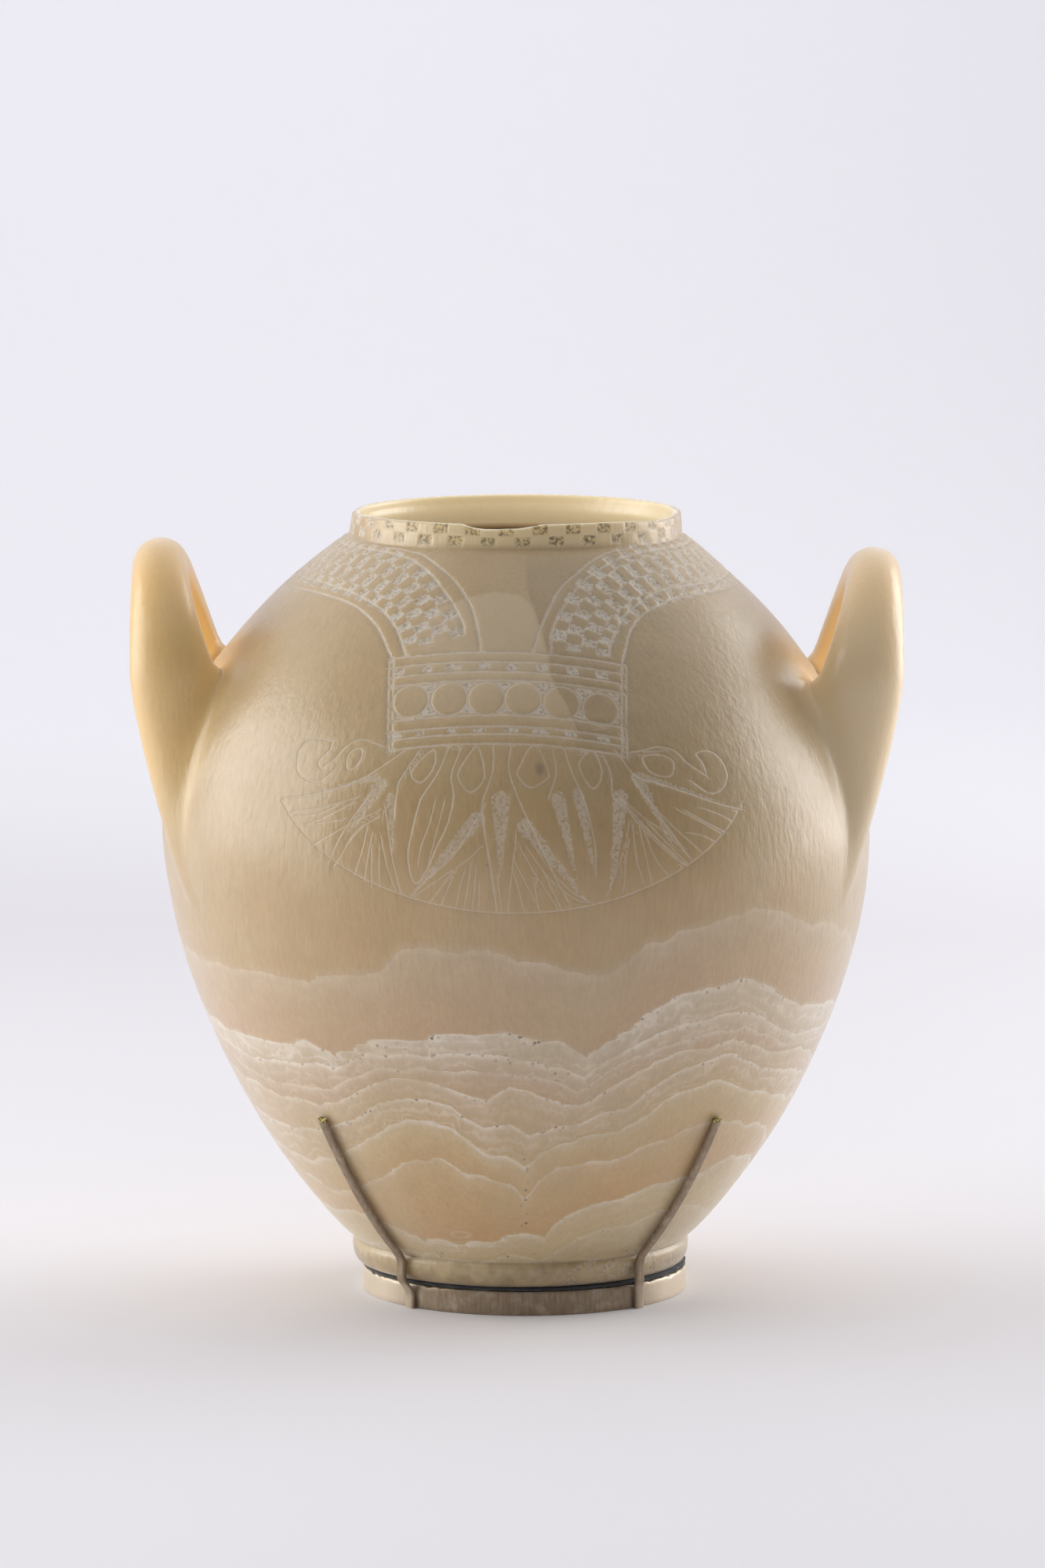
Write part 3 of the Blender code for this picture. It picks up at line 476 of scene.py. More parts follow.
def handle_outside(z):
    """The outer face: upright above the shoulder, then eased onto the belly as fall ^ 1.34, sinking at its end."""
    upright = handle_spring(-1)
    fall = np.clip((upright - z) / (upright - TAIL_HEIGHT), 0, 1.2)
    tail = math.sqrt(float(body_radius(TAIL_HEIGHT)) ** 2 - (HANDLE_SPAN + TAIL_SPREAD) ** 2) - TAIL_SINK
    fade = 2.6 * np.clip((173 - z) / 22, 0, 1) ** 2
    return HANDLE_OUTSIDE - (HANDLE_OUTSIDE - tail) * fall ** TAIL_EASE - fade


def limb_sizes(fall):
    """Thickness, width and spread of an upright limb at its share of the way down."""
    fall = np.clip(fall, 0, 1.2)
    thickness = LIMB_THICKNESS + (TAIL_THICKNESS - LIMB_THICKNESS) * fall ** 3
    return thickness, LIMB_WIDTH + (TAIL_WIDTH - LIMB_WIDTH) * fall, HANDLE_SPAN + TAIL_SPREAD * fall ** 3


def arch_sizes(share):
    """Thickness and width of the arch, from the crown (0) to the limbs (1)."""
    share = np.clip(share, 0, 1)
    thickness = HANDLE_THICKNESS + (LIMB_THICKNESS - HANDLE_THICKNESS) * share
    return thickness, HANDLE_WIDTH + (LIMB_WIDTH - HANDLE_WIDTH) * share ** LIMB_SWELL


def handle_tube(side, collection):
    """An elliptical section carried up the front limb, over a half circle and down the back limb.
    Its buried side is held inside the body's wall."""
    spring = handle_spring(side)
    limb = np.linspace(TAIL_END, spring, LIMB_STEPS + 1)[:-1]
    turn = np.radians(np.linspace(-90, 90, ARCH_STEPS))
    along_limb = np.ones(LIMB_STEPS)
    way = np.concatenate([-along_limb, np.sin(turn), along_limb])
    up = np.concatenate([limb, spring + HANDLE_SPAN * np.cos(turn), limb[::-1]])
    rise = np.concatenate([0 * along_limb, np.cos(turn), 0 * along_limb])
    thick_limb, width_limb, spread = limb_sizes((spring - up) / (spring - TAIL_HEIGHT))
    share = np.concatenate([along_limb, np.abs(np.degrees(turn)) / 90, along_limb])
    thick_arch, width_arch = arch_sizes(share)
    upright = rise == 0
    thickness = np.where(upright, thick_limb, thick_arch)
    width = np.where(upright, width_limb, width_arch)
    centre_y = np.where(upright, way * spread, way * HANDLE_SPAN)
    centre_x = handle_outside(up) - width / 2
    round_it = np.linspace(0, 2 * np.pi, HANDLE_SIDES, endpoint=False)[None, :]
    thick = np.sin(round_it) * thickness[:, None] / 2
    x = centre_x[:, None] + np.cos(round_it) * width[:, None] / 2
    y = centre_y[:, None] + way[:, None] * thick
    z = up[:, None] + rise[:, None] * thick
    shift = side * lean(z)
    deepest = np.sqrt(np.maximum((body_radius(z) - 5.0) ** 2 - y ** 2, 0)) + shift
    x = np.where(z < 262, np.maximum(x, deepest), x)
    points = np.stack([x * side, y, z], axis=-1).reshape(-1, 3)
    faces = [ring_quads(len(up), HANDLE_SIDES), *end_caps(len(up), HANDLE_SIDES)]
    made = make_piece("handle tube", points, faces, collection)
    agree(made.data)
    return made


def joined(first, others, name, collection):
    """One closed mesh from several that overlap."""
    for other in others:
        union = first.modifiers.new("Join", "BOOLEAN")
        union.operation, union.solver, union.object = "UNION", "EXACT", other
    graph = bpy.context.evaluated_depsgraph_get()
    mesh = bpy.data.meshes.new_from_object(first.evaluated_get(graph))
    mesh.name = name
    for obj in [first, *others]:
        bpy.data.objects.remove(obj, do_unlink=True)
    made = bpy.data.objects.new(name, mesh)
    collection.objects.link(made)
    return made


def body_distance(p):
    """How far outside the turned body a point lies: (rho - r(z)) / sqrt(1 + r'(z)^2)."""
    reach = np.hypot(p[:, 0] - lean(p[:, 2]), p[:, 1])
    return (reach - outer_radius(p[:, 2])) / np.sqrt(1 + slope(p[:, 2]) ** 2)


def handle_share(p):
    """The size of the handle's ellipse through a point, 1 on its surface."""
    x, y, z = np.abs(p[:, 0]), p[:, 1], p[:, 2]
    spring = np.where(p[:, 0] < 0, handle_spring(-1), handle_spring(1))
    rise = np.maximum(z - spring, 0)
    around = np.hypot(y, rise)
    share = np.arctan2(np.abs(y), rise) / (np.pi / 2)
    thick_arch, width_arch = arch_sizes(share)
    thick_limb, width_limb, spread = limb_sizes((spring - z) / (spring - TAIL_HEIGHT))
    arch = z > spring
    level = np.where(arch, spring + HANDLE_SPAN * np.cos(share * np.pi / 2), z)
    width = np.where(arch, width_arch, width_limb)
    across = np.where(arch, around - HANDLE_SPAN, np.abs(y) - spread) / (np.where(arch, thick_arch, thick_limb) / 2)
    out = (x - handle_outside(level) + width / 2) / (width / 2)
    return np.hypot(across, out)


def gradient(field, p, step=0.05):
    """The slope of a field at each point, by central differences."""
    slopes = []
    for axis in range(3):
        move = np.zeros(3)
        move[axis] = step
        slopes.append((field(p + move) - field(p - move)) / (2 * step))
    return np.stack(slopes, axis=-1)


def handle_distance(p):
    """About how far outside a handle a point lies: (share - 1) / |slope of share|."""
    return (handle_share(p) - 1) / np.maximum(np.linalg.norm(gradient(handle_share, p), axis=1), 1e-3)


def fillet_radius(z):
    """How wide the ground hollow is where a handle meets the body."""
    return np.interp(z, (158, 175, 190, 225, 260), (0.6, 1.4, 3.0, 8.0, 9.0))


def blended_distance(p):
    """The smooth least of both distances: min(a, b) - k h^2 / 4 with h = max(1 - |a - b| / k, 0)."""
    a, b, k = body_distance(p), handle_distance(p), fillet_radius(p[:, 2])
    h = np.maximum(1 - np.abs(a - b) / k, 0)
    return np.minimum(a, b) - k * h * h / 4


def ease_joints(mesh):
    """Moves the points near the handles' seams onto the blended surface, by Newton steps along its slope."""
    points = coordinates(mesh)
    near = (np.abs(points[:, 0]) > 60) & (points[:, 2] > 150) & (points[:, 2] < 275)
    near[near] = (body_distance(points[near]) > -1.5) & (handle_distance(points[near]) < 10)
    picked = points[near]
    for _ in range(4):
        value = blended_distance(picked)
        way = gradient(blended_distance, picked)
        move = value[:, None] * way / np.maximum((way ** 2).sum(axis=1), 0.2)[:, None]
        size = np.linalg.norm(move, axis=1)[:, None]
        picked = picked - move * np.minimum(1, 1.5 / np.maximum(size, 1e-6))
    points[near] = picked
    move_points(mesh, points)


def smooth_path(path, step=1.6):
    """A path's points joined by Catmull-Rom curves, sampled about step mm apart."""
    p = np.array(path, float)
    if len(p) < 3:
        return p
    closed = bool(np.allclose(p[0], p[-1]))
    before = p[-2] if closed else 2 * p[0] - p[1]
    after = p[1] if closed else 2 * p[-1] - p[-2]
    q = np.vstack([before, p, after])
    pieces = []
    for a, b, c, d in zip(q[:-3], q[1:-2], q[2:-1], q[3:]):
        long_way = np.hypot(math.radians(c[0] - b[0]) * float(outer_radius(b[1])), (c[1] - b[1]) * 1.3)
        t = np.linspace(0, 1, max(2, int(long_way / step) + 1), endpoint=False)[:, None]
        square, cube = 2 * a - 5 * b + 4 * c - d, 3 * b - a - 3 * c + d
        pieces.append(0.5 * (2 * b + (c - a) * t + square * t ** 2 + cube * t ** 3))
    return np.vstack(pieces + [p[-1:]])


def path_distance(angle, z, path, reach):
    """The points within reach of a path, with their signed distance to it and how far along it they lie.
    Each step of the path is laid out flat round the point: x = r * angle, y = length along the outline."""
    margin = np.degrees(reach / outer_radius(np.clip(path[:, 1].max(), 0, 299)))
    near = (angle > path[:, 0].min() - margin) & (angle < path[:, 0].max() + margin)
    near &= (z > path[:, 1].min() - reach) & (z < path[:, 1].max() + reach)
    picked = np.flatnonzero(near)
    r, here = outer_radius(z[picked]) * np.pi / 180, length_at(z[picked])
    lengths = length_at(path[:, 1])
    best = np.full(len(picked), np.inf)
    signed, along = np.zeros(len(picked)), np.zeros(len(picked))
    gone = 0.0
    for (a, b), la, lb in zip(zip(path[:-1], path[1:]), lengths[:-1], lengths[1:]):
        ax, ay = (a[0] - angle[picked]) * r, la - here
        dx, dy = (b[0] - a[0]) * r, lb - la
        size = np.maximum(dx * dx + dy * dy, 1e-9)
        t = np.clip(-(ax * dx + ay * dy) / size, 0, 1)
        qx, qy = ax + t * dx, ay + t * dy
        gap = np.hypot(qx, qy)
        closer = gap < best
        best = np.where(closer, gap, best)
        signed = np.where(closer, np.where(dx * qy - dy * qx < 0, -gap, gap), signed)
        step = math.hypot((b[0] - a[0]) * math.pi / 180 * float(outer_radius((a[1] + b[1]) / 2)), lb - la)
        along = np.where(closer, gone + t * step, along)
        gone += step
    keep = best < reach
    return picked[keep], signed[keep], along[keep]


def nearest_line(angle, z, paths, reach=4.0):
    """Signed distance to the nearest of some (weight, path) pairs, how near it is, from 1 on it to 0 at reach, and
    its weight."""
    signed, weight = np.full(len(angle), reach), np.zeros(len(angle))
    for share, path in paths:
        picked, gap, _ = path_distance(angle, z, np.asarray(path, float), reach)
        closer = np.abs(gap) < np.abs(signed[picked])
        signed[picked[closer]] = gap[closer]
        weight[picked[closer]] = share
    return signed, 1 - np.abs(signed) / reach, weight


def spot(angle, z, place):
    """A point's place across and up from a (angle, height, half width, half height) spot, 1 on its edge."""
    across = (angle - place[0]) * np.pi / 180 * body_radius(z) / place[2]
    return across, (length_at(z) - length_at(place[1])) / place[3]


def plaque_share(angle, z):
    """How far across the plaque a point lies as seen from the front, from -1 to 1 at its sides."""
    return (body_radius(z) * np.sin(np.radians(angle)) - PLAQUE_CENTRE) / PLAQUE_HALF_WIDTH


def plaque_level(angle, z):
    """The level of a point on the plaque, whose lines bow down by sag * share^2 and tilt by share."""
    share = plaque_share(angle, z)
    return z + PLAQUE_SAG * share ** 2 + PLAQUE_TILT * share


def plaque_paths():
    """The plaque's eight bowed lines and the double lines at its sides."""
    paths = []
    for level in PLAQUE_LEVELS:
        share = np.linspace(-1, 1, 25)
        z = level - PLAQUE_SAG * share ** 2 - PLAQUE_TILT * share
        x = PLAQUE_CENTRE + share * PLAQUE_HALF_WIDTH
        paths.append(np.stack([np.degrees(np.arcsin(x / body_radius(z))), z], axis=-1))
    for side in (-1, 1):
        for inset in (0.0, 1.7):
            share = side * (1 - inset / PLAQUE_HALF_WIDTH)
            z = np.linspace(PLAQUE_LEVELS[0], PLAQUE_LEVELS[-1], 10) - PLAQUE_SAG - PLAQUE_TILT * share
            x = PLAQUE_CENTRE + share * PLAQUE_HALF_WIDTH
            paths.append(np.stack([np.degrees(np.arcsin(x / body_radius(z))), z], axis=-1))
    return paths


def disc_paths():
    """A circle on the surface round each disc: angle and height from the flat distance."""
    turn = np.linspace(0, 2 * np.pi, 25)
    paths = []
    for angle, z in DISCS:
        up = np.interp(length_at(z) + DISC_RADIUS * np.sin(turn), LENGTHS, LENGTH_HEIGHTS)
        paths.append(np.stack([angle + np.degrees(DISC_RADIUS * np.cos(turn) / body_radius(z)), up], axis=-1))
    return paths


def fan_edge_path():
    """The flower's lower edge: an ellipse seen from the front, x = c + a sin t and z = c - b cos t."""
    turn = np.radians(np.linspace(-FAN_TIPS, FAN_TIPS, 61))
    x = FAN_CENTRE[0] + FAN_HALF[0] * np.sin(turn)
    z = FAN_CENTRE[1] - FAN_HALF[1] * np.cos(turn)
    return np.stack([np.degrees(np.arcsin(x / body_radius(z))), z], axis=-1)


def strap_field(angle, z):
    """Cells along and across the strap's chequered field, and how far inside it a point lies, for both halves.
    The field is measured from a middle path between its two lines."""
    found = np.zeros((len(angle), 3))
    found[:, 2] = -4
    for side, inner, outer in ((-1, 1, 2), (1, 5, 6)):
        lines = []
        for number in (inner, outer):
            path = smooth_path(STRAP_LINES[number])
            around = np.diff(path[:, 0]) * np.pi / 180 * outer_radius(path[1:, 1])
            gone = np.concatenate([[0], np.cumsum(np.hypot(around, np.diff(length_at(path[:, 1]))))])
            even = np.linspace(0, gone[-1], 90)
            lines.append(np.stack([np.interp(even, gone, path[:, 0]), np.interp(even, gone, path[:, 1])], axis=-1))
        middle = (lines[0] + lines[1]) / 2
        r = outer_radius(middle[:, 1]) * np.pi / 180
        half = np.hypot((lines[0] - lines[1])[:, 0] * r, length_at(lines[0][:, 1]) - length_at(lines[1][:, 1])) / 2
        steps = np.hypot(np.diff(middle[:, 0]) * r[1:], np.diff(length_at(middle[:, 1])))
        gone = np.concatenate([[0], np.cumsum(steps)])
        picked, gap, along = path_distance(angle, z, middle, 18.0)
        mine = np.sign(angle[picked]) == side
        picked, gap, along = picked[mine], gap[mine], along[mine]
        wide = np.interp(along, gone, half)
        left = gone[-1] - along
        cells = round(gone[-1] / CHECK_CELL / 2) * 2
        found[picked, 0] = side * left / gone[-1] * cells
        found[picked, 1] = side * gap / wide * 2
        found[picked, 2] = np.minimum(wide - np.abs(gap), along - 0.5)
    return found


def rough_field(angle, z):
    """How far inside a roughened place a point lies, and how white it is: the plaque's checks, the ground round
    the discs, the flower's wedges and the collar's checks."""
    r = outer_radius(z) * np.pi / 180
    stretch = np.sqrt(1 + slope(z) ** 2)
    level = plaque_level(angle, z)
    inside, white = np.full(len(angle), -4.0), np.ones(len(angle))
    front = (np.abs(angle) < 50) & (z > 160) & (z < 285)
    for top, bottom, checks in PLAQUE_CHECKS:
        band = np.minimum(top - 0.5 - level, level - bottom - 0.5) * stretch
        for first, last in checks:
            check = np.minimum(band, np.minimum(angle - first, last - angle) * r)
            inside = np.where(front, np.maximum(inside, check), inside)
    share = plaque_share(angle, z)
    ground = np.minimum(DISC_BAND[0] - 0.7 - level, level - DISC_BAND[1] - 0.7) * stretch
    ground = np.minimum(ground, (1 - np.abs(share)) * PLAQUE_HALF_WIDTH - 3.0)
    for centre, height in DISCS:
        away = np.hypot((angle - centre) * r, length_at(z) - length_at(height)) - DISC_RADIUS - 0.3
        ground = np.minimum(ground, away)
    inside = np.where(front, np.maximum(inside, ground), inside)
    for root, tip, width in WEDGES:
        path = np.linspace(root, tip, 8)
        picked, gap, along = path_distance(angle, z, path, 4.0)
        total = along.max()
        half = width / 2 * (1 - 0.9 * along / total)
        inside[picked] = np.maximum(inside[picked], half - np.abs(gap))
        white[picked] = 0.55
    pitch = 360 / COLLAR_CHECKS
    for middle, offset in COLLAR_ROWS:
        away = (angle / pitch - offset + 0.5) % 1 - 0.5
        box = np.minimum(COLLAR_CHECK[0] / 2 - np.abs(away) * pitch * r, COLLAR_CHECK[1] / 2 - np.abs(z - middle))
        inside = np.where(z > 300, np.maximum(inside, box), inside)
    return np.stack([inside, white, np.zeros(len(z))], axis=-1)


def band_heights(angle):
    """The height of each stone layer's boundary at some angles: measured round the front, then eased over 35
    degrees into a slow wave round the back, with low lobes |sin| along it."""
    levels = []
    for number, (band, back) in enumerate(zip(BANDS, BAND_BACK)):
        table = np.array(band, float)
        front = np.interp(angle, table[:, 0], table[:, 1])
        beyond = np.maximum(table[0, 0] - angle, angle - table[-1, 0])
        turn = np.radians(angle)
        wave = 5 * np.cos(2 * turn + number) + 3 * np.sin(3 * turn + 1.7 * number)
        wave += 1.5 * np.cos(9 * turn + 2.3 * number)
        ease = smoothstep(0, 35, beyond)
        lobes = np.abs(np.sin(turn * (11 + 2.5 * (number % 4)) + 1.1 * np.sin(5 * turn + number) + 2 * number))
        levels.append(front * (1 - ease) + (back + wave) * ease + (1.4 + 1.2 * ease) * (lobes - 0.6))
    gap = 1.6 * np.arange(len(levels))[:, None]
    return np.minimum.accumulate(np.stack(levels) + gap, axis=0) - gap


def band_field(angle, z):
    """A number that grows by one from each boundary of the stone's layers to the next, and the layer's thickness."""
    levels = band_heights(angle)
    levels = np.vstack([levels, levels[-1:] - 14])
    layer = -np.clip((z - levels[0]) / 70, 0, 1)
    thick = np.full(len(z), 40.0)
    for upper, lower in zip(levels[:-1], levels[1:]):
        layer = layer + np.clip((upper - z) / np.maximum(upper - lower, 1.2), 0, 1)
        thick = np.where((z < upper) & (z >= lower), upper - lower, thick)
    return layer, thick


def incise(mesh, angle, z, ground, depth):
    """How deep the carving is at each point of the ground. Keeps the distances to its lines, its place in the
    straps' chequers and in the roughened places for the stone's colour."""
    lines = [(1.0, smooth_path(path)) for path in STRAP_LINES] + [(0.75, path) for path in plaque_paths()]
    lines += [(0.6, path) for path in disc_paths()] + [(0.42, smooth_path(path)) for path in FLOWER_LINES]
    lines += [(0.4, fan_edge_path())]
    rays = [(0.2, smooth_path(path, 3.0)) for path in RAYS] + [(0.0, smooth_path(CRACK))]
    sets = {"line_a": lines[0::2], "line_b": lines[1::2],
            "ray_a": rays[0::3], "ray_b": rays[1::3], "ray_c": rays[2::3]}
    sunk = np.zeros(len(z))
    for name, paths in sets.items():
        signed, near, weight = np.full(len(z), 4.0), np.zeros(len(z)), np.zeros(len(z))
        signed[ground], near[ground], weight[ground] = nearest_line(angle[ground], z[ground], paths)
        store(mesh, name, np.stack([signed, near, weight], axis=-1))
        sunk += depth * weight * (1 - smoothstep(0.1, 0.5 + 0.4 * weight, np.abs(signed)))
    strap = np.tile([0.0, 0.0, -4.0], (len(z), 1))
    strap[ground] = strap_field(angle[ground], z[ground])
    store(mesh, "strap", strap)
    checks = np.sin(np.pi * strap[:, 0]) * np.sin(np.pi * strap[:, 1])
    sunk += 0.6 * depth * smoothstep(0, 0.35, checks) * smoothstep(0, 0.6, strap[:, 2])
    rough = np.tile([-4.0, 1.0, 0.0], (len(z), 1))
    rough[ground] = rough_field(angle[ground], z[ground])
    store(mesh, "rough", rough)
    return sunk + 0.6 * depth * rough[:, 1] * smoothstep(-0.2, 0.5, rough[:, 0])


def mark_stone(mesh, angle, z, outside):
    """Keeps the stone's layers, its knot, its pits and stain, and the pale skin less the shade beside the crack.
    That shade is partly the stone's darker tone right of the crack and partly painted shade, spread over the front
    right of the shoulder and fading out before its highlight."""
    layer, thick = band_field(angle, z)
    store(mesh, "band", np.stack([layer, thick, np.zeros(len(z))], axis=-1))
    store(mesh, "knot", np.clip(np.stack([*spot(angle, z, KNOT), ~outside * 4.0], axis=-1), -4, 4))
    thickest = [place[4] * (1 - smoothstep(0.6, 1.3, np.hypot(*spot(angle, z, place)))) for place in PITS]
    stain = 1 - smoothstep(0.5, 1.2, np.hypot(*spot(angle, z, STAIN)))
    crack_angle, crack_height = np.array(CRACK[::-1]).T
    crack = np.interp(z, crack_height, crack_angle)
    pale = smoothstep(0.7, -0.7, z - np.interp(angle, *np.array(PALE_TOP).T)) * smoothstep(-27, -16, angle)
    pale *= smoothstep(0.5, -0.5, angle - crack) * smoothstep(226, 262, z)
    # Darker right of the crack: the stone's own tone there, spread further right as painted shade that fades before
    # the side's highlight
    blur = 0.5 + np.maximum(238 - z, 0) / 3
    shade = smoothstep(-1, 1, (angle - crack) / blur) * smoothstep(66, 34, angle)
    shade *= smoothstep(160, 235, z) * smoothstep(304, 290, z)
    store(mesh, "marks", np.stack([np.max(thickest, axis=0), stain, pale - shade], axis=-1) * outside[:, None])


def mark_light(mesh, p, angle, rho, hold):
    """Keeps where daylight is held: the handles' inner sides and creases, the mouth, and the neck's inside."""
    x, y, z = p.T
    hole = (hold < 1.0) & (z > 165)
    spring = np.where(x < 0, handle_spring(-1), handle_spring(1))
    rise = np.maximum(z - spring, 0)
    inward = smoothstep(HANDLE_SPAN - 2, HANDLE_SPAN - 9, np.hypot(y, rise)) * hole
    outer = rho > outer_radius(z) - 1.5
    crease = (1 - smoothstep(0, 16, np.abs(hold))) * outer * smoothstep(66, 30, np.abs(y)) * smoothstep(180, 225, z)
    inner = (rho < 62.6) * smoothstep(262, 296, z)
    # The collar's front is painted as glowing and its sides are not: painted light
    mouth = smoothstep(299, 304, z) * smoothstep(75, 20, np.abs(angle)) + inner
    glow = np.clip(inward + 0.7 * crease, 0, 1)
    store(mesh, "glow", glow)
    store(mesh, "mouth", np.clip(mouth, 0, 1))
    lip = smoothstep(298, 303, z) * (rho > 62.6)
    store(mesh, "held", np.clip(inner + 0.6 * inward + 0.3 * crease + 0.1 * lip, 0, 1))
    # The handles and their joints are painted paler and warmer: painted glow
    store(mesh, "handle", (1 - smoothstep(-2, 14, hold)) * smoothstep(160, 225, z) * outer)


def carve(mesh, depth):
    """Sinks the carving into the jar along its normal, gives the ground its hand-rubbed waves and wears the rim
    down. Keeps what the stone's colour needs at each point."""
    p = coordinates(mesh)
    x, y, z = p.T
    angle = np.degrees(np.arctan2(x - lean(z), -y))
    rho = np.hypot(x - lean(z), y)
    outside = (np.abs(rho - outer_radius(z)) < 1.0) & (z > 22)
    hold = np.full(len(z), 40.0)
    side = np.abs(x) > 50
    hold[side] = np.minimum(handle_distance(p[side]), 40)
    ground = outside & (hold > 1.2)
    sunk = incise(mesh, angle, z, ground, depth)
    mark_stone(mesh, angle, z, outside)
    mark_light(mesh, p, angle, rho, hold)
    hand = 0.12 * (1 + ripple(p, 46.0, 3)) * outside * smoothstep(9, 18, hold)
    away = np.stack([np.sin(np.radians(angle)), -np.cos(np.radians(angle)), -slope(z)], axis=-1)
    away /= np.linalg.norm(away, axis=1)[:, None]
    p = p - away * (np.where(ground, sunk, 0) + np.clip(hand, 0, 0.3) * (z < 300))[:, None]
    dip = np.interp(angle, *np.array(RIM_DIPS).T) + 0.12 * (1 + ripple(p, 7.0, 5)) * (np.abs(angle + 5) < 13)
    p[:, 2] -= np.where((z > 302) & (rho < 67), dip * np.clip((z - 302) / 8, 0, 1) ** 2, 0)
    move_points(mesh, p)


def jar_mesh(collection, depth):
    """The whole stone: body and handles joined, their seams ground into hollows, then carved."""
    body = body_shell(collection)
    handles = [handle_tube(side, collection) for side in (-1, 1)]
    made = joined(body, handles, "carved_jar", collection)
    tidy(made.data)
    ease_joints(made.data)
    carve(made.data, depth)
    made.data.shade_smooth()
    return made


def tidy(mesh):
    """Merges stray doubles and splits the many-sided faces that the join leaves along its seams."""
    work = bmesh.new()
    work.from_mesh(mesh)
    bmesh.ops.remove_doubles(work, verts=work.verts[:], dist=0.00003)
    odd = [face for face in work.faces if len(face.verts) > 5]
    bmesh.ops.triangulate(work, faces=odd)
    work.to_mesh(mesh)
    work.free()
    face_outward(mesh)


def ring_mesh(collection):
    """A flat strip turned into a ring, its top edge crumbled where the paint has broken: z = height - noise."""
    angles = np.linspace(0, 360, RING_STEPS, endpoint=False)
    inner, outer, top = RING_RADIUS - STRIP_THICKNESS, RING_RADIUS, STRIP_HEIGHT
    profile = [(inner, 0.2), (inner, 2.5), (inner, 7.0), (inner, top - 0.3), (inner + 0.3, top), (outer - 0.9, top),
               (outer - 0.4, top - 0.08), (outer - 0.1, top - 0.35), (outer, top - 0.8), (outer, top - 2.0),
               (outer, 6.0), (outer, 4.0), (outer, 2.0), (outer, 0.7), (outer - 0.15, 0.2), (outer - 0.5, 0),
               (inner + 0.4, 0)]
    grid = turned_rows(profile, angles)
    sides = smoothstep(0.25, 0.8, np.abs(grid[:, 0]) / outer)
    level = grid * (1, 1, 0)
    crumb = np.clip(ripple(level, 5.0, 11) * 0.3 + ripple(level, 1.8, 12) * 0.2, 0, 0.8) * (0.25 + sides)
    grid[:, 2] -= crumb * smoothstep(7.4, 9.0, grid[:, 2])
    grid[:, 0] += RING_SHIFT
    faces = [ring_quads(len(profile), RING_STEPS), wrap_quads(len(profile), RING_STEPS)]
    made = make_piece("ring_band", grid, faces, collection)
    agree(made.data)
    made.data.set_sharp_from_angle(angle=math.radians(40))
    return made


def liner_mesh(collection):
    """A thin ring of felt whose outer edge wanders in and out a little."""
    angles = np.linspace(0, 360, LINER_STEPS, endpoint=False)
    inner, outer = RING_RADIUS - 7.4, RING_RADIUS - 0.4
    profile = [(inner, 9.8), (inner, 10.8), (outer - 0.3, 10.8), (outer, 10.5), (outer, 10.1), (outer - 0.3, 9.8)]
    grid = turned_rows(profile, angles)
    wander = ripple(grid * (1, 1, 0), 9.0, 21) * 0.35
    push = 1 + np.where(np.hypot(grid[:, 0], grid[:, 1]) > outer - 1, wander, 0) / outer
    grid[:, :2] *= push[:, None]
    grid[:, 0] += RING_SHIFT
    faces = [ring_quads(len(profile), LINER_STEPS), wrap_quads(len(profile), LINER_STEPS)]
    made = make_piece("felt_liner", grid, faces, collection)
    agree(made.data)
    return made


def prong_path(angle):
    """Points and outward normals of a prong's inner face: up the ring, over the foot's side, then along the belly."""
    turn = math.radians(angle)
    radial = np.array([math.sin(turn), -math.cos(turn), 0])
    ring_face = np.array([RING_SHIFT, 0, 0]) + radial * (RING_RADIUS + 0.3)
    foot_face = np.array([float(lean(FOOT_TOP)), 0, 0]) + radial * (FOOT_RADIUS + PRONG_GAP)
    up = np.array([0, 0, 1.0])
    knots = [ring_face, ring_face + up * 3.5, ring_face + up * STRIP_HEIGHT * 0.7,
             foot_face + up * (FOOT_BOTTOM + 0.5), foot_face + up * (FOOT_TOP - 4), foot_face + up * (FOOT_TOP - 1)]
    normals = [radial] * 6
    for z in np.interp(np.linspace(0, 1, 26) ** 1.2, (0, 1), (FOOT_TOP + 4, FOOT_TOP + PRONG_RISE)):
        normal = np.array([radial[0], radial[1], -float(slope(z))])
        normal /= np.linalg.norm(normal)
        r = float(outer_radius(z))
        knots.append(np.array([r * radial[0] + float(lean(z)), r * radial[1], z]) + normal * PRONG_GAP)
        normals.append(normal)
    return np.array(knots), np.array(normals)


def blurred(rows):
    """Each column's running mean over seven rows, with the weights 1 2 3 4 3 2 1 and its ends held."""
    weights = np.array([1, 2, 3, 4, 3, 2, 1.0])
    padded = np.pad(rows, ((3, 3), (0, 0)), mode="edge")
    return np.stack([np.convolve(column, weights / weights.sum(), mode="valid") for column in padded.T], axis=-1)


